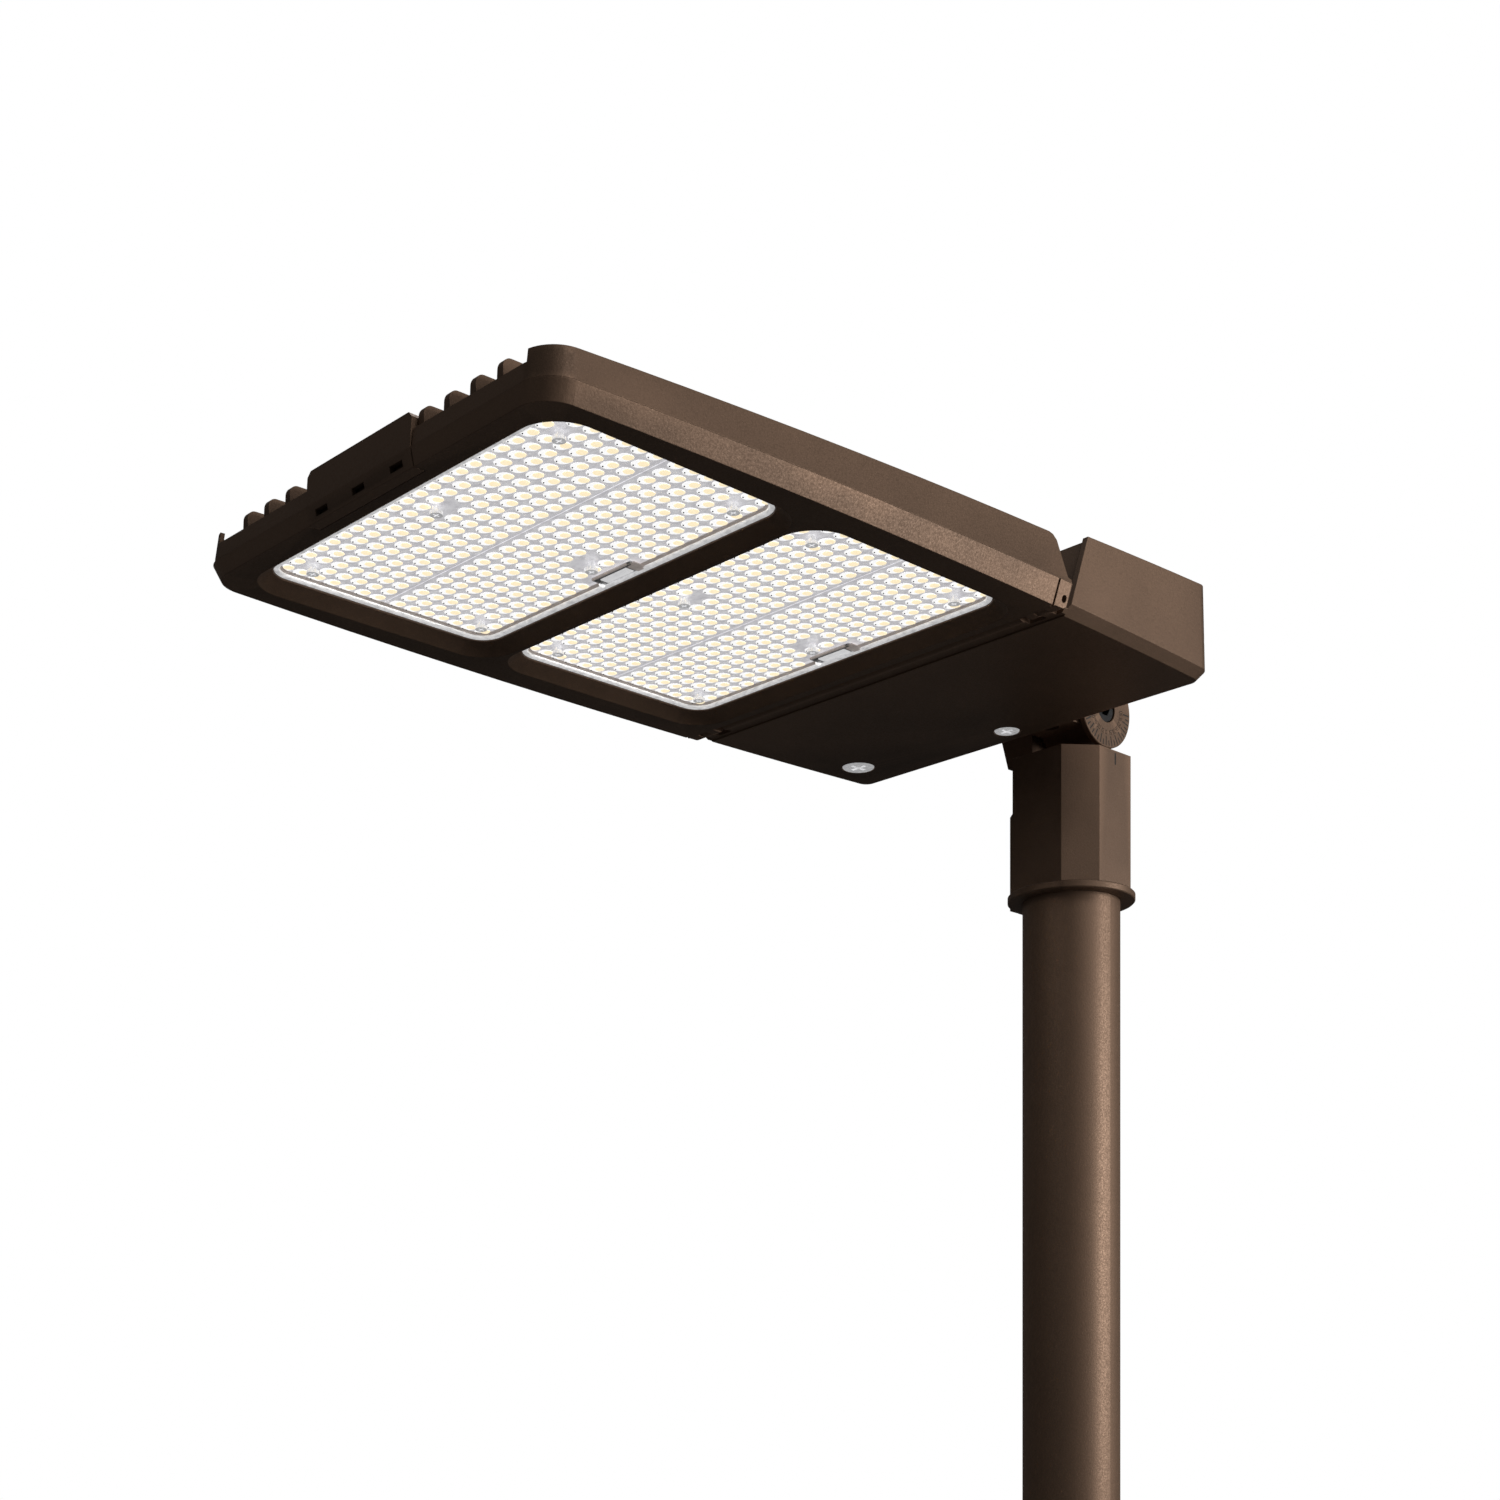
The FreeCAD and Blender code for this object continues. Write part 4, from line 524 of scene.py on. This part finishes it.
for name in ("rear", "front"):
    corner_low, corner_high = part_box("lens_" + name)
    window = (corner_low.y - LENS_INSET, corner_high.y + LENS_INSET)
    lip = window[1] - (BEVEL_IN + POCKET_LIP) * MM
    pocket_y = lip - POCKET_DEPTH
    places = led_places(window, screws, pocket_y)
    pieces = [swept(window, BEAD_PROFILE, "bead_" + name, bead_paint),
              swept(window, GROOVE_PROFILE, "groove_" + name, groove_paint)]
    plate_shape = plate_mesh(window, underside, PLATE_IN - PLATE_LAP, SEAM_HALF)
    plate = make_object("optic_plate_" + name, plate_shape, paints["clear_optic"], False)
    pieces.append(plate)
    for kind, radii, shift, section, sides, paint in (
            ("led_cups_", CUP_R, (0, 0), FLAT, 14, cup_paint),
            ("led_chips_", (CHIP_R, CHIP_R), along_slant(CHIP_SHIFT), PILLOW, 14, chip_paint),
            ("led_dark_glints_", (GLINT_R, GLINT_R), along_slant(GLINT_SHIFT), TAIL, 8, dark_glint_paint),
            ("optic_domes_", DOME_R, (0, 0), dome_rings(), 14, dome_paint)):
        discs = discs_mesh(places, radii, shift, section, underside, sides)
        pieces.append(make_object(kind + name, discs, paint))
    for kind, across, along, heights, bevel, paint in feed_blocks(pocket_y, lip):
        limits = (across, along, tuple(underside + h * MM for h in heights))
        pieces.append(make_object("feed_" + kind + "_" + name, box_mesh(limits, bevel * MM), paint))
    for piece in pieces:
        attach(piece, "head")
    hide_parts("lens_" + name)


# --- Paint in the engraved marks ------------------------------------------------------------
def dial_fill():
    """Dark paint in the dial's engraved marks, just under its face."""
    axis = next(j["pos_m"] for j in frame["joints"] if j["name"] == "head_tilt")
    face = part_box("pivot_bolt")[1].x + BOLT_SUNK - PAINT_DEPTH
    bm = bmesh.new()
    rings = [(r, x) for x in (face, face - DIAL_FILL) for r in (DIAL_INNER, DIAL_OUTER)]
    loops = []
    for radius, x in rings:
        turns = [2 * math.pi * i / DIAL_SIDES for i in range(DIAL_SIDES)]
        points = [(x, axis[1] + radius * math.cos(t), axis[2] + radius * math.sin(t)) for t in turns]
        loops.append([bm.verts.new(point) for point in points])
    for a, b in ((0, 1), (1, 3), (3, 2), (2, 0)):
        for i in range(DIAL_SIDES):
            j = (i + 1) % DIAL_SIDES
            bm.faces.new((loops[a][i], loops[b][i], loops[b][j], loops[a][j]))
    bmesh.ops.recalc_face_normals(bm, faces=bm.faces)
    fill = make_object("dial_fill", bm, mark_paint, False)
    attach(fill, "head")


def pointer_fill():
    """Dark paint in the pointer slot on the fitter's flat, under the dial."""
    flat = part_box("pole")[1].x + BARREL_WALL
    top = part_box("pole")[1].z + BARREL_ABOVE_POLE
    x = flat - PAINT_DEPTH
    heights = (top - POINTER_FROM_TOP[0], top - POINTER_FROM_TOP[1])
    limits = ((x - POINTER_FILL, x), (-POINTER_HALF, POINTER_HALF), heights)
    piece = make_object("pointer_fill", box_mesh(limits, POINTER_BEVEL), mark_paint, False)
    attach(piece, "fitter")


dial_fill()
pointer_fill()


# --- Stage, lights and camera ---------------------------------------------------------------
def floor():
    """Floor that looks pale to the camera but throws little light back up at the underside."""
    bm = bmesh.new()
    corners = ((-1, -1), (1, -1), (1, 1), (-1, 1))
    verts = [bm.verts.new((x * FLOOR_REACH, y * FLOOR_REACH, -FLOOR_BELOW)) for x, y in corners]
    bm.faces.new(verts)
    paint = Shade("studio_floor", Roughness=0.7)
    cloud = paint.noise(3.0, 2.0)
    pale = paint.ramp(cloud, 0, [(0.3, grey(0.8)), (0.7, grey(0.84))])
    path = paint.node("LightPath")
    paint.paint(paint.mix((path, "Is Camera Ray"), grey(0.1), (pale, 0)), 2)
    item = make_object("studio_floor", bm, paint.material, False)


def softbox(name, at, size, power, colour):
    """Rectangular area light turned towards the middle of the head."""
    light = bpy.data.lights.new(name, "AREA")
    light.shape = "RECTANGLE"
    light.size, light.size_y = size
    light.energy = power
    light.color = colour
    item = bpy.data.objects.new(name, light)
    bpy.context.scene.collection.objects.link(item)
    item.location = at
    item.rotation_euler = (Vector(AIM) - Vector(at)).to_track_quat("-Z", "Y").to_euler()


def backdrop():
    """White studio surround that the camera sees, and a dimmer fill that lights the object."""
    world = bpy.data.worlds.new("studio")
    bpy.context.scene.world = world
    world.use_nodes = True
    tree = world.node_tree
    tree.nodes.clear()
    seen, fill = tree.nodes.new("ShaderNodeBackground"), tree.nodes.new("ShaderNodeBackground")
    seen.inputs["Color"].default_value = (1.0, 1.0, 1.0, 1.0)
    seen.inputs["Strength"].default_value = 1.0
    fill.inputs["Color"].default_value = (1.0, 0.99, 0.98, 1.0)
    fill.inputs["Strength"].default_value = 0.07
    path, mix = tree.nodes.new("ShaderNodeLightPath"), tree.nodes.new("ShaderNodeMixShader")
    out = tree.nodes.new("ShaderNodeOutputWorld")
    tree.links.new(path.outputs["Is Camera Ray"], mix.inputs[0])
    tree.links.new(fill.outputs[0], mix.inputs[1])
    tree.links.new(seen.outputs[0], mix.inputs[2])
    tree.links.new(mix.outputs[0], out.inputs["Surface"])


floor()
backdrop()
for light in LIGHTS:
    softbox(*light)

lens = bpy.data.cameras.new("camera")
lens.lens = CAMERA_LENS
lens.sensor_width = CAMERA_SENSOR
lens.shift_y = CAMERA_SHIFT
camera = bpy.data.objects.new("camera", lens)
bpy.context.scene.collection.objects.link(camera)
camera.location = CAMERA_AT
camera.rotation_euler = [math.radians(turn) for turn in CAMERA_TURN_DEG]
bpy.context.scene.camera = camera
bpy.context.scene.view_settings.view_transform = "Standard"
